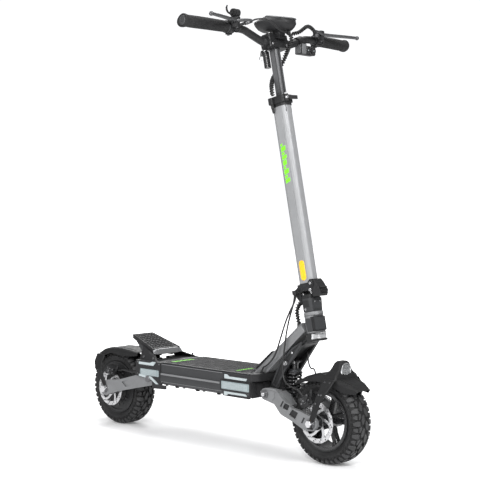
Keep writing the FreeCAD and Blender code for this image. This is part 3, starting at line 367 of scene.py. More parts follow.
def finish(name, colour, rough, metal=0.0, grain=900.0, bump=0.12, mottle=0.10, spread=0.08,
           coat=0.0, stretch=(1, 1, 1), pattern=None, sheen=0.5):
    """A procedural surface: mottled colour, varied roughness and a fine grain in the bump."""
    made = bpy.data.materials.new(name)
    made.use_nodes = True
    tree = made.node_tree
    shader = tree.nodes["Principled BSDF"]
    shader.inputs["Metallic"].default_value = metal
    shader.inputs["Coat Weight"].default_value = coat
    shader.inputs["Coat Roughness"].default_value = 0.18
    shader.inputs["Specular IOR Level"].default_value = sheen
    where = tree.nodes.new("ShaderNodeTexCoord")
    scale = tree.nodes.new("ShaderNodeMapping")
    scale.inputs["Scale"].default_value = stretch
    tree.links.new(where.outputs["Object"], scale.inputs["Vector"])

    def noise(size, detail):
        node = tree.nodes.new("ShaderNodeTexNoise")
        node.inputs["Scale"].default_value = size
        node.inputs["Detail"].default_value = detail
        tree.links.new(scale.outputs["Vector"], node.inputs["Vector"])
        return node

    broad = noise(22.0, 4.0)
    ramp = tree.nodes.new("ShaderNodeValToRGB")
    ramp.color_ramp.elements[0].position = 0.32
    ramp.color_ramp.elements[1].position = 0.68
    ramp.color_ramp.elements[0].color = [c * (1 - mottle) for c in colour] + [1]
    ramp.color_ramp.elements[1].color = [c * (1 + mottle) for c in colour] + [1]
    tree.links.new(broad.outputs["Fac"], ramp.inputs["Fac"])
    tree.links.new(ramp.outputs["Color"], shader.inputs["Base Color"])

    smear = noise(90.0, 3.0)
    level = tree.nodes.new("ShaderNodeMapRange")
    level.inputs["From Min"].default_value = 0.3
    level.inputs["From Max"].default_value = 0.7
    level.inputs["To Min"].default_value = max(rough - spread, 0.02)
    level.inputs["To Max"].default_value = rough + spread
    tree.links.new(smear.outputs["Fac"], level.inputs["Value"])
    tree.links.new(level.outputs["Result"], shader.inputs["Roughness"])

    fine = noise(grain, 2.0)
    relief = tree.nodes.new("ShaderNodeBump")
    relief.inputs["Strength"].default_value = bump
    relief.inputs["Distance"].default_value = 0.0006
    height = fine.outputs["Fac"]
    if pattern:
        height = pattern(tree, where, height)
    tree.links.new(height, relief.inputs["Height"])
    tree.links.new(relief.outputs["Normal"], shader.inputs["Normal"])
    return made


def added_relief(tree, where, height, kind, output, depth, settings):
    """A texture node whose output, times a depth, is added to the grain's height."""
    node = tree.nodes.new(kind)
    for socket, value in settings.items():
        node.inputs[socket].default_value = value
    mix = tree.nodes.new("ShaderNodeMath")
    mix.operation = "MULTIPLY_ADD"
    mix.inputs[1].default_value = depth
    tree.links.new(where.outputs["Object"], node.inputs["Vector"])
    tree.links.new(node.outputs[output], mix.inputs[0])
    tree.links.new(height, mix.inputs[2])
    return node, mix.outputs["Value"]


def ribs(scale, direction, depth):
    """Parallel fine ridges added to the grain."""
    def build(tree, where, height):
        wave, raised = added_relief(tree, where, height, "ShaderNodeTexWave", "Fac", depth,
                                    {"Scale": scale})
        wave.bands_direction = direction
        return raised
    return build


def cells(scale, depth):
    """Small facets, as in a moulded prism reflector or pebbled rubber."""
    def build(tree, where, height):
        settings = {"Scale": scale, "Randomness": 0.15}
        return added_relief(tree, where, height, "ShaderNodeTexVoronoi", "Distance", depth, settings)[1]
    return build


# how strongly a matt black part reflects, and the grain drawn out along a tube
MATT = 0.32
ALONG = (1, 1, 0.15)

stem_silver = finish("stem_silver_satin", (0.285, 0.289, 0.296), 0.46, 0.25, grain=2600, bump=0.06,
                     mottle=0.03, stretch=ALONG)
arm_silver = finish("arm_silver_paint", (0.20, 0.203, 0.208), 0.40, 0.45, grain=2200, bump=0.08,
                    mottle=0.05)
neck_grey = finish("neck_grey_paint", (0.20, 0.203, 0.208), 0.42, 0.4, grain=2200, bump=0.08, mottle=0.05)
pale_silver = finish("pale_silver", (0.62, 0.625, 0.635), 0.34, 0.5, grain=2000, bump=0.06, mottle=0.03)
deck_paint = finish("deck_powder_coat", (0.036, 0.037, 0.039), 0.46, 0.1, grain=1900, bump=0.16,
                    mottle=0.07, sheen=MATT)
black_paint = finish("black_powder_coat", (0.018, 0.0182, 0.019), 0.44, 0.1, grain=1900, bump=0.16,
                     mottle=0.10, sheen=MATT)
black_plastic = finish("moulded_black_plastic", (0.015, 0.015, 0.016), 0.50, sheen=MATT, grain=1500,
                       bump=0.22, mottle=0.10)
gloss_plastic = finish("gloss_black_plastic", (0.012, 0.012, 0.013), 0.26, grain=900, bump=0.05,
                       mottle=0.08, coat=0.3)
guard_plastic = finish("mudguard_plastic", (0.013, 0.013, 0.0135), 0.56, sheen=0.2, grain=1300, bump=0.14,
                       mottle=0.12)
soft_black = finish("soft_grip_rubber", (0.015, 0.015, 0.0155), 0.68, sheen=MATT, grain=1400, bump=0.3,
                    mottle=0.14, pattern=cells(420, 0.9))
tyre_rubber = finish("tyre_rubber", (0.014, 0.014, 0.0145), 0.6, sheen=MATT, grain=700, bump=0.3,
                     mottle=0.2, spread=0.1)
# painted highlight: the tread blocks wear a lighter copy of the tyre rubber, standing for light on their
# faces against the shaded grooves
tread_rubber_painted_highlight = finish("tread_rubber_painted_highlight", (0.030, 0.030, 0.031), 0.55, sheen=0.45, grain=700, bump=0.3,
                      mottle=0.2, spread=0.1)
mat_rubber = finish("deck_mat_rubber", (0.028, 0.028, 0.029), 0.66, sheen=MATT, grain=1700, bump=0.35,
                    mottle=0.08)
cable_rubber = finish("cable_sheath", (0.011, 0.011, 0.0115), 0.45, grain=1500, bump=0.15, mottle=0.15)
anodised = finish("dark_anodised", (0.085, 0.087, 0.092), 0.36, 0.75, grain=2400, bump=0.05, mottle=0.05,
                  stretch=ALONG)
tube_grey = finish("inner_tube_grey", (0.095, 0.096, 0.100), 0.44, 0.3, grain=2400, bump=0.05,
                   mottle=0.05, stretch=ALONG)
bright = finish("bright_steel", (0.60, 0.60, 0.61), 0.24, 0.95, grain=1600, bump=0.05, mottle=0.06)
dull_steel = finish("dark_steel", (0.16, 0.16, 0.165), 0.34, 0.9, grain=1600, bump=0.08, mottle=0.1)
chrome = finish("chrome_trim", (0.80, 0.81, 0.82), 0.08, 1.0, grain=1200, bump=0.02, mottle=0.03,
                spread=0.03)
disc_steel = finish("brushed_disc_steel", (0.56, 0.56, 0.57), 0.27, 0.9, grain=2600, bump=0.10,
                    mottle=0.05)
lever_grey = finish("lever_cast_grey", (0.090, 0.091, 0.094), 0.32, 0.6, grain=1700, bump=0.1,
                    mottle=0.08)
spring_black = finish("spring_enamel", (0.014, 0.014, 0.015), 0.22, 0.2, grain=800, bump=0.04, mottle=0.1,
                      coat=0.5)
glass_dark = finish("display_glass", (0.010, 0.011, 0.013), 0.06, grain=400, bump=0.0, mottle=0.05,
                    spread=0.02, coat=0.8)
trim_pale = finish("pale_reflective_trim", (0.42, 0.47, 0.48), 0.40, grain=1300, bump=0.1, mottle=0.03)
light_lens = finish("side_light_lens", (0.25, 0.30, 0.31), 0.22, grain=800, bump=0.5, mottle=0.05,
                    coat=0.4, pattern=ribs(95, "Z", 1.6))
yellow_lens = finish("yellow_reflector", (1.0, 0.53, 0.012), 0.26, grain=900, bump=0.35, mottle=0.04,
                     coat=0.4, pattern=cells(520, 1.4))
green_print = finish("green_print", (0.20, 0.80, 0.015), 0.45, grain=1500, bump=0.1, mottle=0.04)
red_lens = finish("red_tail_lens", (0.42, 0.010, 0.012), 0.18, grain=700, bump=0.4, mottle=0.06, coat=0.5,
                  pattern=cells(380, 1.2))
lamp_glass = finish("lamp_reflector", (0.74, 0.75, 0.77), 0.10, 0.85, grain=600, bump=0.15, mottle=0.03,
                    pattern=cells(300, 0.8))
cell_wrap = finish("cell_wrap", (0.06, 0.14, 0.28), 0.4, grain=900, bump=0.1)


# ---- CAD nodes that stay --------------------------------------------------------------

# each finish with the nodes that wear it and the width of their eased edges
STAYING = [
    (deck_paint, {"deck_frame": 0.8}),
    (cell_wrap, {"battery_pack": 0.6}),
    (anodised, {"controller": 0.6}),
    (neck_grey, {"neck": 1.0, "head_tube": 0.6}),
    (pale_silver, {"fork_crown": 0.6}),
    (arm_silver, {"front_arm": 0.8, "rear_arm": 0.8}),
    (tube_grey, {"inner_tube": 0.4}),
    (bright, {"front_axle": 0.5, "rear_axle": 0.5}),
    (gloss_plastic, {"key_switch": 0.4, "front_rim": 0.8}),
    (dull_steel, {"frame_pins": 0.5, "steering_pins": 0.5, "front_shock_rod": 0.4,
                  "rear_shock_rod": 0.4}),
    (spring_black, {"rear_shock_body": 0.5, "front_shock_body": 0.5, "front_spring": 0,
                    "rear_spring": 0}),
    (black_plastic, {"front_covers": 0.7, "rear_housing": 0.8, "kick_plate": 1.0, "stem_collar": 0.8,
                     "fold_lever": 0.9, "collar_lever": 0.5, "control_mounts": 0.5, "switch_box": 0.6}),
    (black_paint, {"fold_base": 0.9, "fork_bracket": 0.9, "handlebar": 0.4, "bar_clamp": 0.9,
                   "front_caliper": 0.7, "rear_caliper": 0.7, "rear_hub_motor": 0.7, "kickstand": 0.5}),
]
for node_finish, staying in STAYING:
    for node_name, node_bevel in staying.items():
        cad_piece(node_name, node_finish, node_bevel)


# ---- stem ---------------------------------------------------------------------------

STEM_LOW = 22.0
STEM_TOP = 567.0
STEM_HALF = [(27, 0), (27, 6.5), (26.2, 10.2), (24, 13.9), (20.6, 16.8), (16.6, 18.4), (14.2, 18.6),
             (12.8, 18.6), (12.2, 17.5), (10.6, 17.5), (10.0, 18.6), (-14, 18.6), (-18.4, 17.8),
             (-23.2, 14.6), (-26, 10), (-27, 5), (-27, 0)]
STEM_SECTION = STEM_HALF + [(a, -y) for a, y in reversed(STEM_HALF[1:-1])]


def stem_ring(up, grow_a=1.0, grow_y=1.0):
    """The stem's section at one height, scaled ahead and sideways."""
    return [lean(a * grow_a, y * grow_y, up) for a, y in STEM_SECTION]


def stem_pieces():
    inner = (0.88, 0.83)
    sleeve = [stem_ring(STEM_LOW), stem_ring(STEM_TOP), stem_ring(STEM_TOP, *inner),
              stem_ring(STEM_LOW, *inner)]
    make("stem_sleeve", Form().loft(sleeve, joined=True), "stem", stem_silver, 0.3,
         replaces=["stem_tube"])

    pad = []
    for middle, first in [(43, math.pi), (83, 0)]:
        for k in range(9):
            turn = first + math.pi * k / 8
            pad.append((10 * math.cos(turn), middle + 10 * math.sin(turn)))
    rings = []
    for size, y in [(1.0, 18.4), (1.0, 19.5), (0.93, 20.0), (0.75, 20.2)]:
        rings.append([lean(a * size - 0.5, y, 63 + (h - 63) * (0.7 + 0.3 * size)) for a, h in pad])
    make("stem_reflectors", Form().loft(rings).both(), "stem", yellow_lens, 0.2)

    # a run of slanted bars stands in for the printed mark: (start, length, width share)
    marks = Form()
    for start, length, share in [(326, 12, 1.0), (341, 8, 0.62), (352, 14, 1.0), (369, 7, 0.5),
                                 (379, 15, 0.82), (397, 11, 1.0), (411, 7, 0.62), (421, 14, 1.0),
                                 (438, 7, 0.45)]:
        reach = 18 * share - 13
        rise = 5 * share
        marks.prism([(-13, start), (reach, start + rise), (reach, start + length + rise),
                     (-13, start + length)], 18.5, 18.8, lean_side)
    make("stem_marks", marks.both(), "stem", green_print, 0)

    # dark strips on the stem's top corners stand for the clamp slits: painted shade in the gaps
    slots = Form()
    outline = [(25.6, 10.6, 538), (24.6, 12.4, 538), (24.6, 12.4, STEM_TOP), (25.6, 10.6, STEM_TOP),
               (26.3, 10.9, 538), (25.2, 12.9, 538), (25.2, 12.9, STEM_TOP), (26.3, 10.9, STEM_TOP)]
    faces = [[0, 1, 2, 3], [7, 6, 5, 4], [0, 4, 5, 1], [3, 2, 6, 7], [1, 5, 6, 2], [0, 3, 7, 4]]
    for flip in (1, -1):
        slots.add([lean(a, flip * y, up) for a, y, up in outline], faces)
    make("stem_clamp_slot_shade", slots, "stem", cable_rubber, 0.15)

    bolts = Form().bolt_pair(lean(24, 22.9, 22), 4.4, 2.2)
    bolts.bolt(lean(34, -14, COLLAR_TOP - 0.4), STEM_UP, 4.4, 3.4)
    bolts.turned([(0, 5.2), (2.6, 5.2), (3.4, 4.4), (6.0, 4.4), (6.6, 3.6)], lean(37, -17, 579),
                 lean(60, -17, 579), 6)
    make("stem_bolts", bolts, "stem", bright, 0.2)

    band = Form()
    for low, high, grow in [(22, 25, 1.0), (559, 566.6, 1.02)]:
        wide = (1.06 * grow, 1.07 * grow)
        band.loft([stem_ring(low, *wide), stem_ring(high, *wide), stem_ring(high, grow, grow),
                   stem_ring(low, grow, grow)], joined=True)
    make("stem_end_bands", band, "stem", black_plastic, 0.3)

    foot = Form().prism([(-29, 23), (28.4, 23), (28.4, 10), (20, 2.6), (-12, 2.6), (-20, 8), (-29, 12)],
                        -20.4, 20.4, lean_side)
    ear = [(-38, 9), (-39, -1), (-34, -6), (-26, -6), (-12, 3), (-12, 14), (-30, 16)]
    hook = [(15, 12), (31, 12), (34, 22), (30, 32), (21, 33), (14, 25)]
    for outline, low, high in [(ear, -21.5, -9), (hook, -22.9, -19.1), (ear, 9, 21.5),
                               (hook, 19.1, 22.9)]:
        foot.prism(outline, low, high, lean_side)
    make("stem_foot_casting", foot, "stem", black_paint, 0.9, replaces=["stem_foot"])
    pins = Form().turned_pair([(0, 5.0), (2.6, 5.0), (3.4, 4.2), (3.4, 2.4), (2.4, 2.0)],
                              lean(19, 20.2, 3), 20)
    pins.bolt_pair(lean(-31, 21.5, 2), 4.6, 2.2)
    make("stem_foot_pins", pins, "stem", bright, 0.2)

    boot = Form().turned([(0, 5.6), (3, 5.6), (4, 4.8), (7, 4.8), (8, 5.4), (10, 5.4), (11, 4.6),
                          (15, 4.2), (26, 3.4)], lean(-13, -28, 566.6), lean(-18, -19, 530), 16)
    make("stem_cable_boot", boot, "stem", cable_rubber, 0.3)


# ---- deck ---------------------------------------------------------------------------

FRONT_LIGHT = rect(112, 228, 192, 216)
REAR_LIGHT = rect(-263, -173, 197, 218)
FRONT_TRIM = [[(123, 237), (135, 237), (144, 231.5), (219, 231.5), (213, 224), (123, 224)],
              [(123, 185), (213, 185), (219, 178.5), (142, 178.5), (133, 173), (123, 173)]]
REAR_TRIM = [[(-269, 239), (-216, 239), (-203, 243.6), (-187, 243.6), (-199, 231), (-269, 231)],
             [(-269, 199), (-208, 195), (-212, 187), (-269, 192)],
             [(-208, 195), (-175, 174), (-186, 173), (-212, 187)]]


def side_light(outline, y0, y1):
    """Light panel with rounded corners, on both sides."""
    return Form().prism(eased(outline, 3), y0, y1).both()


MAT_PITCH = 2.05
MAT_RIB = 1.24
MAT_PATCHES = [(-92, -32, -86, -58), (-92, -32, 58, 86), (48, 96, -86, -62), (48, 96, 62, 86),
               (112, 166, -86, -62), (112, 166, 62, 86)]


def mat_runs(x0, x1, y):
    """Stretches of one mat rib, left open where a raised patch sits."""
    cuts = sorted((a - 2, b + 2) for a, b, low, high in MAT_PATCHES if low - 1.5 < y < high + 1.5)
    runs = []
    start = x0
    for a, b in cuts:
        runs.append((start, a))
        start = b
    runs.append((start, x1))
    return runs


def deck_pieces():
    make("deck_front_lights", side_light(FRONT_LIGHT, 98.2, 101.2), "frame", light_lens, 0.5,
         replaces=["side_reflectors"])
    make("deck_rear_lights", side_light(REAR_LIGHT, 97.4, 100.6), "frame", light_lens, 0.5)
    trim = Form()
    for outline in FRONT_TRIM:
        low, high = (96.5, 99.0) if outline[0][1] > 200 else (97.6, 100.6)
        trim.prism(outline, low, high)
    for outline in REAR_TRIM:
        trim.prism(outline, 98.4, 101.0)
    make("deck_trim_strips", trim.both(), "frame", trim_pale, 0.35)

    backing = Form().prism(eased(rect(106, 234, 188, 220), 3), 97.5, 100.4)
    backing.prism(eased(rect(-268, -168, 193.5, 221.5), 3), 97.0, 99.8)
    backing.prism(eased([(116, 170.8), (226, 170.8), (232, 184), (232, 188), (116, 188)], 2), 92.0, 98.0)
    backing.prism(eased(rect(116, 232, 221, 239), 2), 96.6, 97.8)
    make("deck_light_frames", backing.both(), "frame", black_plastic, 0.4)

    glow = Form()
    for x0, x1, z in [(118, 222, 204), (-258, -186, 207.5)]:
        for k in range(int((x1 - x0) / 4)):
            x = x0 + 4 * k
            glow.prism([(x, z - 9), (x + 1.4, z - 9), (x + 3.0, z + 9), (x + 1.6, z + 9)], 100.4, 101.6)
    make("deck_light_prisms", glow.both(), "frame", trim_pale, 0.2)

    # raised mid-height line and thin seams along each side of the extrusion; their lighter grey is
    # painted highlight for light on the line's upward facet, and the seams share that grey
    rail = Form().prism(rect(-163, 104, 205.5, 211.5), 98.6, 100.7)
    rail.prism(rect(-163, 112, 238.6, 240.4), 96.6, 97.5)
    rail.prism(rect(-163, 112, 183.2, 184.6), 96.5, 99.7)
    make("deck_side_rails_painted_highlight", rail.both(), "frame", neck_grey, 0.5)

    border = eased([(-163, -97), (206, -97), (229, -96), (236, -94), (244, -84), (248, -70), (248, 70),
                    (244, 84), (236, 94), (229, 96), (206, 97), (-163, 97)], 5)
    inner = [((x - 20) * 0.982 + 20, y * 0.965) for x, y in border]
    edge = Form().border([(border, 243.8), (border, 246.4), (inner, 247.0), (inner, 243.8)], top)
    make("deck_edge_trim", edge, "frame", black_paint, 0.4)

    outline = eased([(-161, -92.5), (186, -92.5), (203, -88), (204, -52), (187, -50), (187, 50),
                     (204, 52), (203, 88), (186, 92.5), (-161, 92.5)], 3)
    mat = Form().prism(outline, 243.6, 246.2, top)
    for row in range(-44, 45):
        y = row * MAT_PITCH
        x0, x1 = (-157, 182) if abs(y) < 88 else (-150, 176)
        for start, end in mat_runs(x0, x1, y):
            mat.block(start, end, y - MAT_RIB / 2, y + MAT_RIB / 2, 246.0, 247.3)
    make("deck_mat", mat, "frame", mat_rubber, 0.15, 1, replaces=["grip_mat"])

    patches = Form()
    for x0, x1, y0, y1 in MAT_PATCHES:
        patches.prism(eased(rect(x0, x1, y0, y1), 4), 246.0, 247.35, top)
        for k in range(int((x1 - x0 - 6) / 7)):
            for m in range(int((y1 - y0 - 6) / 7)):
                cx = x0 + 6.5 + 7 * k
                cy = y0 + 6.5 + 7 * m
                patches.prism([(cx - 2.4, cy), (cx, cy - 2.4), (cx + 2.4, cy), (cx, cy + 2.4)], 247.2,
                              247.5, top)
    make("deck_mat_patches", patches, "frame", soft_black, 0.15, 1)

    marks = Form()
    # slanted bars in place of printed lettering, near the rear right and the front
    for x_mid, y_mid, count, size in [(-136, -26, 9, 9.0), (150, -36, 13, 5.0)]:
        for k in range(count):
            offset = (k - count / 2) * size * 1.1
            tall = size * (1.9, 1.3, 1.9, 0.9)[k % 4]
            outline = [(-tall / 2, offset), (tall / 2, offset + size * 0.3),
                       (tall / 2, offset + size * 0.92), (-tall / 2, offset + size * 0.62)]
            marks.prism([(x_mid + u, y_mid + v) for u, v in outline], 247.2, 247.55, top)
    make("deck_marks", marks, "frame", green_print, 0)

    under = Form().prism(eased(rect(-146, 196, -78, 78), 8), 170.2, 172.4, top)
    for k in range(5):
        x = -118 + 70 * k
        under.prism(eased(rect(x, x + 34, -58, 58), 5), 169.0, 170.6, top)
    make("deck_bottom_cover", under, "frame", black_plastic, 0.5)

    screws = Form()
    for x in (-150, -70, 20, 110, 200):
        for y in (-84, 84):
            screws.bolt((x, y, 172.2), (0, 0, -1), 4.2, 2.6)
    for x, z in [(-199, 181), (-160, 181), (-276, 238), (-276, 200), (-172, 238)]:
        screws.bolt_pair((x, 99, z), 2.6, 1.4)
    for x, y in [(212, 62), (212, -62), (216, 84), (216, -84), (-158, 88), (-158, -88)]:
        screws.bolt((x, y, 246.6), (0, 0, 1), 3.4, 1.2)
    make("deck_screws", screws, "frame", dull_steel, 0.15)

    feet = Form()
    for x in (-104, -10, 84):
        for y in (-82, 82):
            feet.turned([(0, 7), (3.5, 6.4), (4.4, 5.2)], (x, y, 172.2), (x, y, 160), 20)
    feet.turned([(0, 12), (2.6, 12), (3.4, 11), (3.4, 8.5), (2.4, 8)], (-120, 99.2, 222),
                (-120, 110, 222), 28)
    feet.prism(eased(rect(-134, -106, 212, 216.5), 2), 96.8, 99.6)
    make("deck_feet_and_port", feet, "frame", soft_black, 0.3)

    nose = Form()
    for y in (-62, -31, 0, 31, 62):
        nose.prism([(y - 10, 182), (y + 10, 182), (y + 12, 218), (y - 12, 218)], 233.0, 236.0, front)
    for z in (190, 201, 212):
        nose.prism(rect(-88, 88, z, z + 3), 229, 235.2, front)
    make("nose_ribs", nose, "frame", black_plastic, 0.5)

    cover = Form()
    way = Vector((150, 0, 144)).normalized()
    up = Vector((-way.z, 0, way.x))
    rings = []
    for along, half, high in [(0, 30, 7.6), (4, 31, 9.4), (52, 27, 7.6), (56, 25, 5.4)]:
        foot = Vector((206, 0, 254)) + way * along
        rings.append([foot + up * (high - 3) + Vector((0, -half, 0)),
                      foot + up * high + Vector((0, -half + 4, 0)),
                      foot + up * high + Vector((0, half - 4, 0)),
                      foot + up * (high - 3) + Vector((0, half, 0))])
    cover.loft(rings)
    for along in (14, 22, 30):
        foot = Vector((206, 0, 254)) + way * along + up * 8.4
        cover.loft([[foot + Vector((0, y, 0)) + way * a + up * u
                     for a, u in [(0, 0), (3.4, 0), (2.6, 1.5), (0.8, 1.5)]] for y in (-18, 18)])
    make("neck_cover_panel", cover, "frame", gloss_plastic, 0.5)


# ---- rear kick plate ------------------------------------------------------------------

KICK_BACK = Vector((-364, 0, 317))
KICK_FRONT = Vector((-243, 0, 277))


def kick_point(share, y_share, up):
    """Point over the sloping top of the kick plate; shares run back to front and -1 to 1."""
    spot = KICK_BACK.lerp(KICK_FRONT, share)
    half = 45 + 16 * share
    rise = Vector((40, 0, 121)).normalized()
    return spot + Vector((0, half * y_share, 0)) + rise * up


def kick_pieces():
    slab = Form().loft([[kick_point(s, y, up) for s, y in [(0, -1), (0, 1), (1, 1), (1, -1)]]
                        for up in (-6, -0.2)])
    make("kick_plate_slab", slab, "frame", black_plastic, 1.2)

    gusset = Form().prism([(-356, 309), (-252, 275), (-262, 250), (-304, 250), (-347, 297)], 41, 45)
    make("kick_plate_gussets", gusset.both(), "frame", deck_paint, 0.8)

    tiles = Form()
    rows, columns = 8, 6
    for r in range(rows):
        for c in range(columns):
            mid_s = 0.07 + 0.84 * (r + 0.5) / rows
            mid_y = -0.86 + 1.72 * (c + 0.5) / columns
            reach_s = 0.41 * 0.84 / rows
            reach_y = 0.41 * 1.72 / columns
            low = [kick_point(mid_s + a * reach_s, mid_y + b * reach_y, -0.4)
                   for a, b in rect(-1, 1, -1, 1)]
            high = [kick_point(mid_s + a * reach_s * 0.72, mid_y + b * reach_y * 0.72, 2.0)
                    for a, b in rect(-1, 1, -1, 1)]
            tiles.loft([low, high])
    make("kick_plate_tiles", tiles, "frame", mat_rubber, 0.35, 1)

    outer = rect(0.015, 0.985, -0.97, 0.97)
    inner = rect(0.05, 0.93, -0.9, 0.9)
    rim = Form().border([(outer, -0.6), (outer, 1.0), (inner, 1.0), (inner, -0.6)], kick_point)
    make("kick_plate_rim", rim, "frame", black_plastic, 0.4)

    lip = Form()
    # pale face across the front edge, with chamfered ends
    for low, high in [(-62, -48), (-47, 47), (48, 62)]:
        rings = []
        for y in (low, high):
            fall = 8 if abs(y) > 60 else 0
            rings.append([Vector((-244, y, 277.6 - fall * 0.5)), Vector((-238, y, 276.2 - fall)),
                          Vector((-233.4, y, 260 + fall * 0.4)), Vector((-240, y, 258 + fall * 0.4))])
        lip.loft(rings)
    make("kick_plate_lip", lip, "frame", neck_grey, 0.8)

    tail = Form().prism(eased([(-38, 305.5), (38, 305.5), (34, 315), (-34, 315)], 2), -366.2, -363.0,
                        front)
    make("tail_light", tail, "frame", red_lens, 0.6)

    bolts = Form()
    for x, y, z in [(-270, 78, 252), (-212, 88, 252)]:
        bolts.bolt((x, y, z), (0, 0.9, 0.45), 4.0, 2.6)
    bolts.both()
    for y in (-22, 22):
        bolts.bolt((-297.5, y, 255.3), (0, math.copysign(1, y), 0), 6.0, 3.4)
    make("kick_plate_bolts", bolts, "frame", dull_steel, 0.2)


# ---- head and fork --------------------------------------------------------------------

def head_pieces():
    plates = Form()
    for outline, out in [([(-17, -54), (17, -54), (18, -25.5), (-18, -25.5)], 20.6),
                         ([(-15, -51), (15, -51), (15.6, -28.5), (-15.6, -28.5)], 21.6)]:
        plates.prism(eased(outline, 2), 16, out, lean_front)
    make("fold_base_panel", plates, "steer", deck_paint, 0.4)

    shell = Form()
    plan = [(-17, -19), (-10, -26), (12, -26), (18.6, -21), (18.6, 21), (12, 26), (-10, 26), (-17, 19)]
    shell.loft([[lean(a * grow, y * grow, up) for a, y in plan] for grow, up in
                [(0.96, -60.5), (1.0, -58), (1.09, -23), (1.05, -20.5)]])
    make("fold_base_shell", shell, "steer", deck_paint, 0.8)

    sides = Form().prism(eased(rect(-9, 10, -46, -26), 3), 24.6, 28.6, lean_side)
    make("fold_base_sides", sides.both(), "steer", black_paint, 0.4)

    screws = Form().bolt_pair(lean(-5, 26.0, -52), 3.2, 1.8)
    screws.bolt_pair(lean(-31, 27.6, 2), 5.6, 2.4)
    for y in (-11, 11):
        screws.bolt(lean(21.4, y, -32), STEM_AHEAD, 1.9, 1.0)
    make("fold_base_bolts", screws, "steer", bright, 0.2)

    cover = Form().prism(eased(rect(-24, 24, -116, -79), 2), 18.3, 20.2, lean_front)
    cover.prism(eased(rect(-26, 26, -81, -77.5), 1), 18.3, 20.0, lean_front)
    wrap = [(13, -118), (13, -80), (-6, -78), (-10, -84), (-6, -118)]
    for low, high in [(-30.4, -27), (27, 30.4)]:
        cover.prism(wrap, low, high, lean_side)
    make("head_front_panel", cover, "frame", deck_paint, 0.6)
    cheeks = Form()
    for low, high in [(-35, -31.5), (31.5, 35)]:
        cheeks.prism([(-12, -124.6), (-12, -148), (4, -148), (8, -124.6)], low, high, lean_side)
    make("crown_cheeks", cheeks, "steer", black_paint, 0.6)

    ring = Form()
    for low, high, radius in [(-72.4, -69.6, 29.0), (-124.2, -121.8, 29.2)]:
        ring.turned([(0, radius - 0.6), (0.6, radius), (high - low - 0.6, radius),
                     (high - low, radius - 0.6)], lean(0, 0, low), lean(0, 0, high), 48)
    make("head_seal_rings", ring, "frame", dull_steel, 0.2)

    lip = Form()
    plan = [(-26, -15), (-14, -31), (6, -33), (12.5, -29.5), (12.5, 29.5), (6, 33), (-14, 31), (-26, 15)]
    lip.loft([[lean(a * grow, y * grow, up) for a, y in plan] for grow, up in
              [(0.97, -147.5), (1.05, -145.5), (1.05, -141.5), (1.0, -140.6)]])
    make("crown_lip", lip, "steer", black_paint, 0.6)

    # raised border along each bracket plate, in a lighter black than the plate: painted highlight along
    # the plates' edges
    outer = [(384, 353), (345, 330), (298, 286), (264, 216), (284, 205), (316, 256), (382, 345)]
    inner = [(378, 346.6), (348, 325), (302.5, 282.5), (271.5, 218.5), (281.5, 212), (311, 259),
             (368, 336)]
    gusset = Form().border([(outer, 37.6), (outer, 40.0), (inner, 40.0), (inner, 37.6)])
    make("bracket_borders_painted_highlight", gusset.both(), "steer", deck_paint, 0.5)

    bolts = Form().bolt_pair((321.5, 42.6, 282.8), 6.5, 2.8)
    bolts.bolt_pair((346, 39.4, 316), 3.6, 2.0)
    bolts.bolt_pair((272, 86.6, 190), 5.4, 2.2)
    make("bracket_bolts", bolts, "steer", bright, 0.2)
    caps = Form().turned_pair([(0, 13), (1.6, 13), (2.2, 12.2), (2.2, 6)], (272, 81.4, 190), 32)
    make("arm_pivot_caps", caps, "steer", dull_steel, 0.2)

    latch = Form()
    for low in (-12, -6, 0, 6):
        latch.prism([(50.6, low), (55.4, low - 2.6), (55.4, low - 0.4), (50.6, low + 2.4)], -14, 14,
                    lean_side)
    make("latch_ribs", latch, "fold_lever", black_paint, 0.4)
    pin = Form().bolt_pair(lean(24, 18.8, 24), 5.0, 2.2)
    make("latch_pins", pin, "fold_lever", bright, 0.2)


# ---- handlebar ------------------------------------------------------------------------

BAR_INNER = Vector((241, 160, 1264))
BAR_OUTER = Vector((218, 364, 1268))


def bar_point(y):
    return BAR_INNER.lerp(BAR_OUTER, (y - 160) / 204)


def on_bar(profile, sides=40):
    """Rings of (y, radius) about the bar's outer run."""
    start = bar_point(profile[0][0])
    end = bar_point(profile[-1][0])
    scale = (end - start).length / abs(profile[-1][0] - profile[0][0])
    return Form().turned([((y - profile[0][0]) * scale, r) for y, r in profile], start, end, sides)


# the grip's ribs run between these places along the bar
GRIP_FIRST = 210.0
GRIP_LAST = 340.0
GRIP_PITCH = 4.0


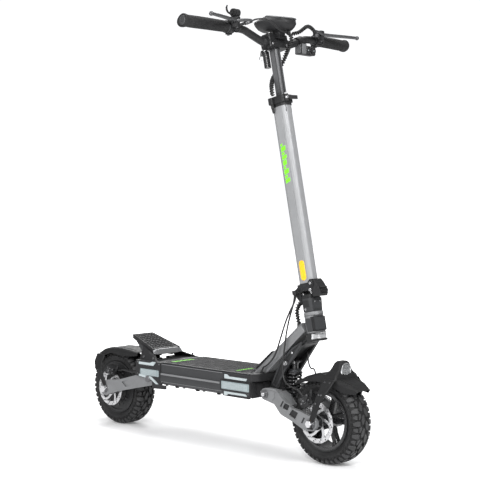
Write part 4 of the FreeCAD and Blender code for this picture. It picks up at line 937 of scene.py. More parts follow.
def grip_pieces():
    profile = [(204.4, 12.2), (204.6, 18.2), (207.4, 18.4), (208.4, 16.6)]
    y = GRIP_FIRST
    while y < GRIP_LAST:
        swell = 16.2 + 0.7 * math.sin(math.pi * (y - GRIP_FIRST) / 140)
        profile += [(y, swell), (y + 0.6, swell + 0.55), (y + 2.0, swell + 0.55), (y + 2.6, swell)]
        y += GRIP_PITCH
    profile += [(345, 16.6), (350, 17.6), (355, 18.8), (359.4, 19.0), (361.2, 18.2), (361.8, 15.8),
                (360.8, 14.8)]
    grip = on_bar(profile)

    def swell_out(point):
        """Palm wing: the rear of the grip swells out and down towards its outer end."""
        share = max(0.0, min(1.0, (point.y - 262) / 80))
        share = share * share * (3 - 2 * share)
        middle = bar_point(point.y)
        off = point - middle
        lean_back = max(0.0, (-off.x * 0.85 - off.z * 0.35) / 18)
        reach = 1 + 0.42 * share * lean_back ** 1.5
        return middle + Vector((off.x * reach, off.y, off.z * (1 + 0.14 * share * lean_back)))

    grip.moved(swell_out)
    make("grips_rubber", grip.both(), "bar", soft_black, 0, replaces=["grips"])

    ends = on_bar([(360.2, 13.8), (361.9, 14.4), (362.9, 13.8), (363.4, 9.0), (362.6, 8.2), (362.6, 3.0),
                   (363.2, 2.6), (363.3, 0.6)], 36)
    make("grip_end_caps", ends.both(), "bar", lever_grey, 0.2)

    rings = Form()
    for low, high, radius in [(200.4, 204.2, 17.0), (176.4, 179.6, 14.0)]:
        ring = on_bar([(low, radius - 0.5), (low + 0.5, radius), (high - 0.5, radius),
                       (high, radius - 0.5)])
        rings.add(ring.points, ring.faces)
    make("bar_lock_rings", rings.both(), "bar", anodised, 0.2)


def control_pieces():
    clamp = Form()
    band = on_bar([(181, 15.8), (182, 17.6), (198, 17.6), (199, 15.8)])
    clamp.add(band.points, band.faces)
    clamp.block(226, 238, 181.6, 198.4, 1243.5, 1251)
    clamp.prism(eased([(236, 180), (256, 177), (270, 180), (274, 187), (272, 195), (258, 200.5),
                       (236, 200.5)], 4), 1288.6, 1291.6, top)
    clamp.prism(eased([(240, 182), (256, 179), (268, 181), (271, 188), (269, 194), (256, 199),
                       (240, 199)], 4), 1291.4, 1293.0, top)
    make("lever_perches", clamp.both(), "bar", black_plastic, 0.7)

    blade = Form()
    path = [Vector(p) for p in [(259, 206, 1278), (264, 194, 1281), (270, 176, 1283), (275, 158, 1285),
                                (277.4, 144, 1285.6)]]
    blade.sweep(path, [5, 8, 6.6, 5.6, 4.6], 16, [4, 6, 5, 4.6, 4.2])
    make("lever_perch_arms", blade.both(), "bar", lever_grey, 0)

    bolts = Form()
    for x, y, z, way in [(264, 188, 1291.2, (0, 0, 1)), (264, 188, 1262.4, (0, 0, -1)),
                         (230, 190, 1243.6, (0, 0, -1)), (247, 190, 1292.6, (0, 0, 1))]:
        bolts.bolt((x, y, z), way, 4.2, 2.4)
    make("lever_bolts", bolts.both(), "bar", dull_steel, 0.2)

    barrels = Form()
    start, end = Vector((266.5, 168, 1273.5)), Vector((276.6, 138, 1285))
    barrels.turned([(0, 4.4), (7, 4.4), (7.4, 6.4), (12, 6.4), (12.4, 5.2), (13.4, 5.2), (13.8, 6.6),
                    (22, 6.6), (22.6, 5.4), (27, 4.4), (33, 3.4)], start, end, 12)
    make("cable_adjusters", barrels.both(), "bar", dull_steel, 0.2)

    hoops = Form()
    for flip in (1, -1):
        path = []
        for k in range(13):
            turn = math.radians(200 + 150 * k / 12)
            path.append(Vector((262 + 15 * math.cos(turn), flip * 186, 1262 + 13 * math.sin(turn))))
        hoops.sweep(path, [2.2] * len(path), 10)
    make("lever_hoops", hoops, "bar", black_plastic, 0)

    # throttle: round body with a ribbed ring, pale cap and thumb paddle
    body = Form().turned([(0, 9.6), (1.2, 11), (4.4, 11), (5, 10.2), (6, 10.2), (6.6, 11.2), (12, 11.2),
                          (13, 10)], (260, -181.4, 1303), (260, -199, 1303), 40)
    body.turned([(0, 15.4), (1, 16.6), (11, 16.6), (12, 15.4)], bar_point(182), bar_point(194), 36)
    bolt_cap = Form().turned([(0, 7.5), (1.4, 7.2), (1.8, 5.2), (1.0, 4.6)], (260, -181.4, 1303),
                             (260, -170, 1303), 32)
    make("throttle_body", body, "bar", black_plastic, 0.3)
    make("throttle_cap", bolt_cap, "bar", lever_grey, 0.2)
    paddle = Form()
    path = [Vector(p) for p in [(260, -204, 1301), (260.6, -214, 1298.6), (260.4, -222, 1301),
                                (259.4, -226, 1308), (259, -226.6, 1315), (259.6, -224, 1321)]]
    paddle.sweep(path, [4.4, 3.6, 3.4, 3.4, 3.2, 2.2], 16, [3.4, 2.8, 2.6, 2.6, 2.4, 1.6])
    paddle.turned([(0, 10.4), (1, 11.4), (3.6, 11.4), (4.6, 10.4)], (260, -199.6, 1303),
                  (260, -210, 1303), 36)
    make("throttle_paddle", paddle, "throttle_lever", soft_black, 0,
         replaces=["throttle_lever"])


# centre line of the left brake lever's blade, in its own level plane
LEVER_LINE = [(263.5, 192), (266.5, 204), (269.5, 218), (274.5, 236), (280.5, 256), (286.5, 277),
              (291.5, 298), (295.5, 316), (297, 324)]
LEVER_Z = 1281


def lever_pieces():
    for flip, hand in [(1, "left"), (-1, "right")]:
        body = "brake_lever_" + hand
        count = 30
        path, widths, heights = [], [], []
        for k in range(count + 1):
            share = k / count
            x, y = blend_points(LEVER_LINE, share)
            path.append(Vector((x, flip * y, LEVER_Z)))
            widths.append(7.0 - 2.0 * share + 1.0 * math.sin(math.pi * share))
            heights.append(5.8 - 1.2 * share)
        # the first cross direction of the sweep lies in the lever's plane
        form = Form().sweep(path, widths, 20, heights)
        form.ball((297, flip * 325, LEVER_Z), 6.9)
        form.turned([(0, 8.2), (0.8, 8.8), (7.2, 8.8), (8, 8.2)], (264, flip * 188, 1277.2),
                    (264, flip * 188, 1290), 36)
        form.turned([(0, 4.8), (6, 4.8)], (258, flip * 181, LEVER_Z), (263, flip * 188, LEVER_Z), 16)
        make("lever_blade_" + hand, form, body, lever_grey, 0.3, replaces=[body])


# fall of the display's lid towards the front
SLOPE = 0.15


def display_pieces():
    def lid(x):
        return 1321 - SLOPE * (x - 212)

    def ring(middle, half_x, half_y, height, slope=0.0, steps=72):
        """Oval ring round a middle x, at a height that falls towards the front."""
        made = []
        for a in circle(steps):
            x = middle + half_x * math.cos(a)
            made.append(Vector((x, half_y * math.sin(a), height - slope * (x - middle))))
        return made

    top_z = lid(262)
    body = Form().loft([ring(248, 26, 20, 1269.5), ring(244, 46, 36, 1271, 0.01),
                        ring(241, 57, 45, 1277, 0.03), ring(240, 66, 52.6, 1287, 0.05),
                        ring(240, 70, 56, 1294.6, 0.05), ring(240, 70, 56, 1297, 0.05),
                        ring(242, 67.4, 54, 1299.6, 0.05), ring(249, 61, 48.6, 1304.5, 0.08),
                        ring(257, 54.4, 43, top_z - 5, 0.13), ring(260.6, 52, 41, top_z - 2.8, SLOPE)])
    make("display_bowl", body, "bar", black_plastic, 0, replaces=["display_housing"])
    band = Form().loft([ring(261, 51.4, 40.4, top_z - 4.4, SLOPE),
                        ring(261.6, 53.0, 41.8, top_z - 3.6, SLOPE),
                        ring(262, 53.0, 41.8, top_z - 2.2, SLOPE),
                        ring(262, 51.8, 40.6, top_z - 0.8, SLOPE), ring(262, 49.4, 38.4, top_z, SLOPE),
                        ring(262, 47.6, 36.8, top_z - 0.6, SLOPE),
                        ring(262, 47.4, 36.6, top_z - 2.4, SLOPE)])
    make("display_rim", band, "bar", lever_grey, 0)
    glass = Form().loft([ring(262, 47.4, 36.6, top_z - 2.0, SLOPE),
                         ring(262, 47.2, 36.4, top_z - 1.0, SLOPE), ring(262, 43, 33, top_z - 0.6, SLOPE),
                         ring(262, 26, 20, top_z - 0.3, SLOPE), ring(262, 9, 7, top_z - 0.2, SLOPE)])
    make("display_glass_panel", glass, "bar", glass_dark, 0, replaces=["display_glass"])
    ticks = Form()
    for k in range(17):
        a = math.radians(70 + 220 * k / 16)
        end = 0.86 if k % 4 == 0 else 0.81
        points = []
        for share, shift in [(0.74, -0.022), (end, -0.018), (end, 0.018), (0.74, 0.022)]:
            x = 262 + 46 * share * math.cos(a + shift)
            y = 36 * share * math.sin(a + shift)
            points.append(Vector((x, y, lid(x) - 0.6)))
        ticks.loft([points, [p + Vector((0, 0, 0.7)) for p in points]])
    for k in range(5):
        y0 = -17 + 7 * k
        points = [Vector((x, y, lid(x) - 0.6)) for x, y in rect(246, 253, y0, y0 + 5)]
        ticks.loft([points, [p + Vector((0, 0, 0.8)) for p in points]])
    make("display_ticks", ticks, "bar", trim_pale, 0)
    screws = Form()
    for x, y in [(240, 16), (240, -16), (284, 16), (284, -16)]:
        screws.bolt((x, y, 1272.5), (0, 0, -1), 2.6, 1.4)
    make("display_screws", screws, "bar", dull_steel, 0.1)


def clamp_pieces():
    plate = Form().prism(eased(rect(-8, 28, -41, 37), 4), CLAMP_TOP - 0.4, CLAMP_TOP + 1.6, lean)
    plate.prism(eased(rect(-11, 31, 752.4, 754.8), 0.6), -44.4, 40.4, lean_side)
    make("clamp_cap", plate, "bar", black_paint, 0.5)
    neck = Form()
    rings = []
    for z, grow in [(1248, 1.35), (1252, 1.18), (1257, 1.02), (1264, 1.0), (1269.4, 1.12)]:
        rings.append([Vector((257 + (x - 257) * grow, y * grow, z))
                      for x, y in eased(rect(243, 271, -15, 15), 7)])
    neck.loft(rings)
    make("display_pedestal", neck, "bar", black_plastic, 0.5)
    bolts = Form()
    for a, y in [(-3, -34), (23, -34), (-3, 30), (23, 30)]:
        bolts.bolt(lean(a, y, CLAMP_TOP + 1.2), STEM_UP, 3.8, 2.6)
    for y in (-32, 28):
        bolts.bolt(lean(29.6, y, 744), STEM_AHEAD, 3.8, 2.2)
    bolts.bolt(lean(10, -43.6, 752), (0, -1, 0), 4.6, 2.6)
    bolts.bolt(lean(10, 39.6, 752), (0, 1, 0), 4.6, 2.6)
    make("clamp_bolts", bolts, "bar", bright, 0.2)

    lock = Form().turned([(0, 7.2), (1.6, 7.2), (2.4, 6.4), (2.4, 4.2), (1.2, 4.0)],
                         lean(-17, -17.5, 733), lean(-17, -17.5, 745), 28)
    path = []
    for k in range(28):
        turn = 2 * math.pi * k / 28
        path.append(lean(-32 + 12 * math.cos(turn), -17 + 3.2 * math.sin(turn),
                         722 + 12 * math.sin(turn)))
    rings = []
    for spot in path:
        way = (spot - lean(-32, -17, 722)).normalized()
        across = way.cross(Vector((0, 1, 0.25))).cross(way).normalized()
        rings.append([spot + (way * math.cos(a) + across * math.sin(a)) * 1.25 for a in circle(10)])
    lock.loft(rings, joined=True)
    make("key_ring_and_lock", lock, "bar", chrome, 0.1)
    key = Form().prism(eased(rect(-36, -22, 727, 741), 5), -19, -15, lean_side)
    make("key_head", key, "bar", gloss_plastic, 0.5)

    wedge = Form()
    for a in (5 + 13.7, 5 - 13.7):
        wedge.prism(rect(a - 0.38, a + 0.38, -2, 2), 596, 733, lean)
    for y in (-11.8, 11.8):
        wedge.prism(rect(12.2, 13.8, y - 0.3, y + 0.3), 596, 733, lean)
    make("inner_tube_lines", wedge, "bar", black_paint, 0)


def switch_pieces():
    plate = Form().prism(eased(rect(99, 119, 1214.5, 1244.5), 3), 261.6, 263.0, front)
    plate.prism(eased(rect(239, 259, 1216, 1243), 3), 95.4, 97.4)
    make("switch_face_plates", plate, "bar", arm_silver, 0.4)
    for name, y in [("mode_button", 134.0), ("horn_button", 160.0)]:
        cap = Form().turned([(0, 9.6), (9.6, 9.7), (10.4, 9.2), (10.9, 7.6), (10.5, 6.8), (10.2, 3.0),
                             (10.5, 1.0)], (248.4, y, 1228), (262, y, 1228), 36)
        make(name + "_cap", cap, name, gloss_plastic, 0.2, replaces=[name])
        dot = Form().turned([(0, 1.8), (0.5, 1.6), (0.7, 0.8)], (258.6, y, 1228), (262, y, 1228), 16)
        make(name + "_dot", dot, name, trim_pale, 0)
    rings = Form()
    for y in (134.0, 160.0):
        rings.turned([(0, 12.6), (1.6, 12.6), (2.2, 12.0), (2.2, 10.6), (0, 10.5)], (250.4, y, 1228),
                     (262, y, 1228), 36)
    rings.bolt((247, 128, 1242), (0, 0, 1), 2.6, 1.2)
    rings.bolt((247, 168, 1242), (0, 0, 1), 2.6, 1.2)
    make("switch_bezels", rings, "bar", dull_steel, 0.2)


# ---- wheels -----------------------------------------------------------------------------

# crown of the tyre from its middle out: (half width, radius)
CROWN = [(0, 127.4), (9, 127.3), (18, 127.0), (25, 126.0), (30, 123.6), (34, 120.4), (37, 116),
         (38.9, 111), (39.4, 106)]


def crown_point(reach):
    """Point and outward way on the tyre's crown, at an arc length from the middle."""
    left = abs(reach)
    for (y0, r0), (y1, r1) in zip(CROWN, CROWN[1:]):
        step = math.hypot(y1 - y0, r1 - r0)
        if left <= step or (y1, r1) == CROWN[-1]:
            share = min(left / step, 1.0)
            out = ((r0 - r1) / step, (y1 - y0) / step)
            return y0 + (y1 - y0) * share, r0 + (r1 - r0) * share, out
        left -= step
    return CROWN[-1][0], CROWN[-1][1], (1, 0)


def tread_spot(centre, reach, turn, depth):
    y, radius, out = crown_point(reach)
    flip = 1 if reach >= 0 else -1
    return wheel_point(centre, radius - out[1] * depth, turn, flip * (y - out[0] * depth))


LUGS_ROUND = 21
LUG_DEPTH = 7.5
# how far a lug's top is drawn in at its sides (degrees) and at its ends (mm)
LUG_SIDE_INSET = 0.35
LUG_END_INSET = 0.9
# tread blocks of one pitch: stations of (reach across in mm, low turn, high turn in degrees)
LUGS = [[(1.2, -3.2, 4.8), (6, -6.8, 6.2), (12.5, -7.2, 2.4), (15.5, -6.0, -0.4)],
        [(14.4, 3.2, 7.2), (19, 0.4, 8.4), (25, -0.8, 6.2)],
        [(20.5, -8.8, -2.4), (27, -9.6, -1.6), (33, -9.2, -2.0), (40, -8.6, -2.8), (46, -7.6, -3.6)],
        [(28.5, 0.0, 6.0), (34, -0.2, 6.2), (40, 0.8, 5.4), (44, 1.4, 4.8)]]


def lug(form, centre, stations, turn, flip):
    """One tread block on the left (flip 1) or the right (flip -1) half of the tyre."""
    rings = []
    last = len(stations) - 1
    for k, (reach, low, high) in enumerate(stations):
        shift = {0: LUG_END_INSET, last: -LUG_END_INSET}.get(k, 0.0)
        foot, head = flip * reach, flip * (reach + shift)
        rings.append([tread_spot(centre, foot, math.radians(turn + low), LUG_DEPTH),
                      tread_spot(centre, head, math.radians(turn + low + LUG_SIDE_INSET), 0),
                      tread_spot(centre, head, math.radians(turn + high - LUG_SIDE_INSET), 0),
                      tread_spot(centre, foot, math.radians(turn + high), LUG_DEPTH)])
    form.loft(rings)


def tyre_pieces(centre, body, name, cad):
    carcass = Form()
    outer = []
    for reach in (0, 8, 16, 24, 31, 36, 41, 46, 50):
        y, radius, out = crown_point(reach)
        outer.append((radius - out[1] * 6.2, y - out[0] * 6.2 * 0.55))
    # sidewall with a raised ring and the bead
    outer += [(105, 38.4), (101, 37.8), (100.4, 38.3), (99.0, 38.3), (98.4, 37.4), (95, 36.2),
              (91.4, 33.6), (88.6, 31.6), (88.2, 30.0), (81, 29)]
    profile = list(reversed([(r, -y) for r, y in outer[1:]])) + outer
    carcass.lathe(profile, centre, 120)
    make(name + "_carcass", carcass, body, tyre_rubber, 0, replaces=[cad])

    blocks = Form()
    step = 360 / LUGS_ROUND
    for k in range(LUGS_ROUND):
        for flip, shift in [(1, 0.0), (-1, step / 2)]:
            for stations in LUGS:
                lug(blocks, centre, stations, k * step + shift, flip)
    make(name + "_tread", blocks, body, tread_rubber_painted_highlight, 0.45, 2)

    marks = Form()
    for k in range(52):
        a0 = math.radians(k * 360 / 52)
        a1 = math.radians(k * 360 / 52 + 3.4)
        for flip in (1, -1):
            low = [wheel_point(centre, r, a, flip * y) for r, a, y in
                   [(109, a0, 38.2), (104.6, a0 + 0.01, 38.0), (104.6, a1 + 0.01, 38.0), (109, a1, 38.2)]]
            high = [p + Vector((0, flip * 0.9, 0)) for p in low]
            marks.loft([low, high])
    make(name + "_side_ribs", marks, body, tyre_rubber, 0.2)


def flat_plate(name, outlines, thick, edge=0.25):
    """Mesh of a flat plate in the XY plane; outlines after the first are its holes."""
    curve = bpy.data.curves.new(name + "_outline", "CURVE")
    curve.dimensions = "2D"
    curve.fill_mode = "BOTH"
    curve.extrude = (thick / 2 - edge) * MM
    curve.bevel_depth = edge * MM
    curve.bevel_resolution = 1
    curve.offset = -edge * MM
    for outline in outlines:
        spline = curve.splines.new("POLY")
        spline.points.add(len(outline) - 1)
        for point, (u, v) in zip(spline.points, outline):
            point.co = (u * MM, v * MM, 0, 1)
        spline.use_cyclic_u = True
    holder = bpy.data.objects.new(name + "_holder", curve)
    bpy.context.scene.collection.objects.link(holder)
    bpy.context.view_layer.update()
    mesh = bpy.data.meshes.new_from_object(holder.evaluated_get(bpy.context.evaluated_depsgraph_get()))
    bpy.data.objects.remove(holder)
    form = Form().add([v.co / MM for v in mesh.vertices], [list(face.vertices) for face in mesh.polygons])
    return form


# middle plane of both brake discs
DISC_Y = -62.0


def disc_plate(name, centre, y):
    """Brake disc with a wavy edge, windows between six swept arms, and two rows of holes."""
    outlines = [[on_circle(59.4 + 0.55 * math.cos(15 * a), a) for a in circle(180)]]
    for start in range(0, 360, 60):
        window = [on_circle(46.0, math.radians(start + 5 + 6 * n)) for n in range(9)]
        for n in range(1, 7):
            window.append(on_circle(46.0 - 22.5 * n / 6, math.radians(start + 53 + 4 * n)))
        for n in range(1, 6):
            window.append(on_circle(23.5 + 22.5 * n / 6, math.radians(start + 40 - 35 * n / 6)))
        outlines.append(window)
    for turn in range(0, 360, 24):
        for radius, a in [(49.8, turn), (55.2, turn + 18)]:
            u, v = on_circle(radius, math.radians(a))
            outlines.append([(u + du, v + dv) for du, dv in (on_circle(2.1, b) for b in circle(12))])
    form = flat_plate(name, outlines, 2.0)
    return form.moved(lambda p: Vector((centre[0] + p.x, y + p.z, centre[1] + p.y)))


def disc_pieces(centre, body, name, cad):
    make(name, disc_plate(name, centre, DISC_Y), body, disc_steel, 0, replaces=[cad])
    hub = Form().turned([(0, 21), (0.8, 22), (1.6, 22), (2.2, 20), (2.2, 14), (3.0, 13.4)],
                        (centre[0], -62.8, centre[1]), (centre[0], -70, centre[1]), 40)
    make(name + "_hub", hub, body, black_paint, 0.15)
    bolts = Form()
    for k in range(6):
        a = math.radians(60 * k + 30)
        bolts.bolt((centre[0] + 17.5 * math.cos(a), -64.4, centre[1] + 17.5 * math.sin(a)), (0, -1, 0),
                   2.6, 1.8)
    make(name + "_bolts", bolts, body, dull_steel, 0.15)


RIM_LIP = [(86.4, 33.2), (88.3, 33.6), (88.5, 34.4), (87.2, 35.0), (85.4, 34.6), (84.4, 33.4)]


def rim_lips(centre, hub_lip, hub_steps):
    """Rolled edge of the rim and a ring at the hub, on both sides."""
    lips = Form()
    for flip in (1, -1):
        for profile, steps in [(RIM_LIP, 96), (hub_lip, hub_steps)]:
            lips.lathe([(radius, flip * y) for radius, y in profile], centre, steps)
    return lips


def front_wheel_pieces():
    tyre_pieces(FRONT_AXLE, "front_wheel", "front_tyre", "front_tyre")
    disc_pieces(FRONT_AXLE, "front_wheel", "front_brake_disc", "front_disc")
    webs = Form()
    for k in range(5):
        turn = math.radians(2 + 72 * k)
        out = Vector((math.cos(turn), 0, math.sin(turn)))
        across = Vector((-math.sin(turn), 0, math.cos(turn)))
        middle = Vector((FRONT_AXLE[0], 0, FRONT_AXLE[1]))
        for flip in (1, -1):
            rings = []
            for reach, half, y in [(25, 10.5, 9.5), (40, 8.5, 8.6), (62, 8.8, 9.6), (79, 13, 14)]:
                rings.append([middle + out * reach + across * w + Vector((0, flip * d, 0))
                              for w, d in [(-half, 5), (-half, y - 1.5), (-half + 2, y), (half - 2, y),
                                           (half, y - 1.5), (half, 5)]])
            webs.loft(rings)
            webs.bolt(middle + out * 70 + Vector((0, flip * 11.2, 0)), (0, flip, 0), 3.4, 1.6)
    make("front_spoke_webs", webs, "front_wheel", gloss_plastic, 0.8)
    lips = rim_lips(FRONT_AXLE, [(24, 34), (24, 35.2), (20, 37), (17, 37), (17, 34)], 48)
    make("front_rim_lips", lips, "front_wheel", black_paint, 0)
    valve_pieces(FRONT_AXLE, "front_wheel", "front_valve", 38)


def valve_pieces(centre, body, name, turn_degrees):
    turn = math.radians(turn_degrees)
    foot, tip = wheel_point(centre, 78, turn, 20), wheel_point(centre, 58, turn, 33)
    stem = Form().turned([(0, 3.4), (6, 3.0), (7, 2.4), (16, 2.4), (16.4, 3.0), (24, 3.0), (25, 2.2)],
                         foot, tip, 12)
    make(name, stem, body, dull_steel, 0.1)


def rear_wheel_pieces():
    tyre_pieces(REAR_AXLE, "rear_wheel", "rear_tyre", "rear_tyre")
    disc_pieces(REAR_AXLE, "rear_wheel", "rear_brake_disc", "rear_disc")
    ribs_form = Form()
    for k in range(18):
        turn = math.radians(20 * k)
        for flip in (1, -1):
            rings = []
            for radius, y in [(30, 36.8), (51, 36.8), (66.5, 32.6)]:
                half = 1.3 / radius
                rings.append([wheel_point(REAR_AXLE, radius, turn - half, flip * (y - 2)),
                              wheel_point(REAR_AXLE, radius, turn - half * 0.7, flip * y),
                              wheel_point(REAR_AXLE, radius, turn + half * 0.7, flip * y),
                              wheel_point(REAR_AXLE, radius, turn + half, flip * (y - 2))])
            ribs_form.loft(rings)
    make("hub_motor_ribs", ribs_form, "rear_wheel", black_paint, 0.3)
    lips = rim_lips(REAR_AXLE, [(54, 36), (54, 36.9), (52.6, 37.2), (51.4, 36.9), (51.4, 36)], 64)
    make("rear_rim_lips", lips, "rear_wheel", black_paint, 0)
    bolts = Form()
    for k in range(8):
        turn = math.radians(45 * k + 10)
        for flip in (1, -1):
            bolts.bolt(wheel_point(REAR_AXLE, 59.5, turn, flip * 34.4), (0, flip, 0), 3.0, 2.2)
    make("hub_motor_bolts", bolts, "rear_wheel", dull_steel, 0.15)
    valve_pieces(REAR_AXLE, "rear_wheel", "rear_valve", 75)


# ---- arms, mudguards, lamp ----------------------------------------------------------------

POCKETS = [[(353, 160), (372, 155), (381, 170), (362, 176)],
           [(378, 143), (401, 133), (413, 153), (391, 160)]]


def arm_pieces():
    inlay = Form()
    for pocket in POCKETS:
        inlay.prism(grown(pocket, 0.96), 85.2, 87.0)
    for x, z in [(343, 164), (424, 126)]:
        inlay.prism([(x, z), (x + 5, z - 1.6), (x + 15, z + 15), (x + 10, z + 17)], 85.2, 90.7)
    make("arm_pocket_inlays", inlay.both(), "front_arm", black_plastic, 0.3)

    borders = Form()
    for pocket in POCKETS:
        borders.border([(grown(pocket, share), y) for share, y in
                        [(1.22, 89.6), (1.18, 90.9), (1.02, 90.9), (1.0, 89.0)]])
    make("arm_pocket_frames", borders.both(), "front_arm", arm_silver, 0.3)

    pads = [("front_arm", [(266, 178), (300, 172), (312, 184), (310, 202), (286, 203), (266, 200)], 79.6),
            ("rear_arm", [(-232, 172), (-258, 168), (-262, 190), (-236, 198), (-218, 194)], 79.2)]
    for body, outline, out in pads:
        pad = Form().prism(eased(outline, 5), 77.6, out).both()
        make(body + "_pads", pad, body, arm_silver, 0.6)

    for centre, body, name, reach in [(FRONT_AXLE, "front_arm", "front_axle_nuts", 103),
                                      (REAR_AXLE, "rear_arm", "rear_axle_nuts", 99)]:
        x, z = centre
        washers = Form().turned_pair([(0, 15), (1.6, 15), (2.0, 14.4), (2.0, 8)], (x, reach - 11.4, z),
                                     36)
        nuts = Form().turned_pair([(0, 8.4), (6.4, 8.4), (7.2, 7.6), (7.3, 5.6)], (x, reach - 9.2, z), 6,
                                  0.3)
        nuts.turned_pair([(0, 5.2), (2.0, 5.2), (2.8, 4.4), (2.8, 2.6), (1.6, 2.2)], (x, reach - 3, z))
        make(name, nuts, body, bright, 0.25)
        make(name + "_washers", washers, body, dull_steel, 0.25)

    bolts = Form()
    for spot in [(392, 90.2, 168), (340, 82, 188)]:
        bolts.bolt(spot, (0, 1, 0), 2.8, 1.6)
    make("front_arm_bolts", bolts.both(), "front_arm", dull_steel, 0.15)


def caliper_details():
    for body, middle, turn, name in [("front_arm", (425, 187), -30, "front_caliper_details"),
                                     ("rear_arm", (-449, 188), 8, "rear_caliper_details")]:
        angle = math.radians(turn)

        def place(u, w, y):
            # the caliper's own upright frame, turned about Y as its CAD block is
            return Vector((middle[0] + u * math.cos(angle) + w * math.sin(angle), y,
                           middle[1] - u * math.sin(angle) + w * math.cos(angle)))
        out = Vector((0, -1, 0))
        dark, shiny = Form(), Form()
        dark.prism(eased([(-19, -9), (19, -9), (21, 4), (14, 13), (-14, 13), (-21, 4)], 3), -76.4, -73.6,
                   place)
        dark.turned([(0, 8.6), (3.4, 8.4), (4.2, 7.4), (4.2, 5), (3.2, 4.4)], place(0, 1, -76),
                    place(0, 1, -90), 28)
        # pull arm and its cable stop
        dark.prism(eased([(-5, -4), (6, -6), (24, 7), (25, 13), (19, 14), (0, 6)], 3), -80.8, -77.4,
                   place)
        dark.turned([(0, 4), (8, 4), (9, 5), (15, 5), (16, 3.4), (22, 2.8)], place(21, 2, -68),
                    place(30, 22, -64), 12)
        for u, w in [(-15, -3), (15, -3), (-9, 9)]:
            shiny.bolt(place(u, w, -76.2), out, 2.9, 2.0)
        shiny.bolt(place(0, 1, -80.4), out, 3.6, 2.2)
        shiny.bolt(place(20.5, 10, -80.6), out, 2.8, 1.8)
        coils = []
        for k in range(60):
            a = 2 * math.pi * k / 12
            coils.append(place(8.55 * math.cos(a), 1 + 8.55 * math.sin(a), -76.6 - 0.05 * k))
        shiny.sweep(coils, [0.7] * len(coils), 6)
        make(name, dark, body, black_plastic, 0.5)
        make(name + "_bolts", shiny, body, dull_steel, 0.15)


SKIN = 3.0
FRONT_GUARD = [(360, 232, 363, 224, 44), (400, 252, 404, 238, 49), (446, 266, 449, 243, 52),
               (490, 266, 486, 241, 52), (522, 253, 513, 230, 50), (556, 241, 545, 216, 43),
               (583, 227, 574, 215, 31)]
REAR_GUARD = [(-336, 258, -336, 246, 50), (-380, 262, -379, 240, 50), (-425, 265, -425, 240, 50),
              (-473, 264, -471, 245, 50), (-512, 256, -503, 236, 49), (-545, 240, -530, 222, 46),
              (-568, 208, -555, 202, 42), (-580, 184, -572, 180, 37)]


def between(stations, share):
    """Station at a share from 0 to 1 along a list, in straight runs."""
    place = min(share * (len(stations) - 1), len(stations) - 1.0001)
    k = int(place)
    return [a + (b - a) * (place - k) for a, b in zip(stations[k], stations[k + 1])]


def guard_ring(station):
    """Closed section of a mudguard at a station: ridge x, z, edge x, z and half width."""
    x0, z0, x1, z1, half = station
    ridge, down = Vector((x0, 0, z0)), Vector((x1 - x0, 0, z1 - z0))
    depth = down.length
    down.normalize()
    shoulder = min(0.4 * depth, 12)
    flat = half - min(9, half * 0.4)
    outer = [(-half, depth), (-half, shoulder), (-half + 1.5, shoulder * 0.55), (-flat - 2, 0.7),
             (-flat + 2, 0), (-flat * 0.5, -0.2), (0, -0.2), (flat * 0.5, -0.2), (flat - 2, 0),
             (flat + 2, 0.7), (half - 1.5, shoulder * 0.55), (half, shoulder), (half, depth)]
    ring = [ridge + down * low + Vector((0, y, 0)) for y, low in outer]
    inset = []
    for y, low in reversed(outer):
        inner_y = y * (1 - SKIN / half)
        inset.append(ridge + down * max(min(low + SKIN, depth - 0.1), SKIN) + Vector((0, inner_y, 0)))
    return ring + inset


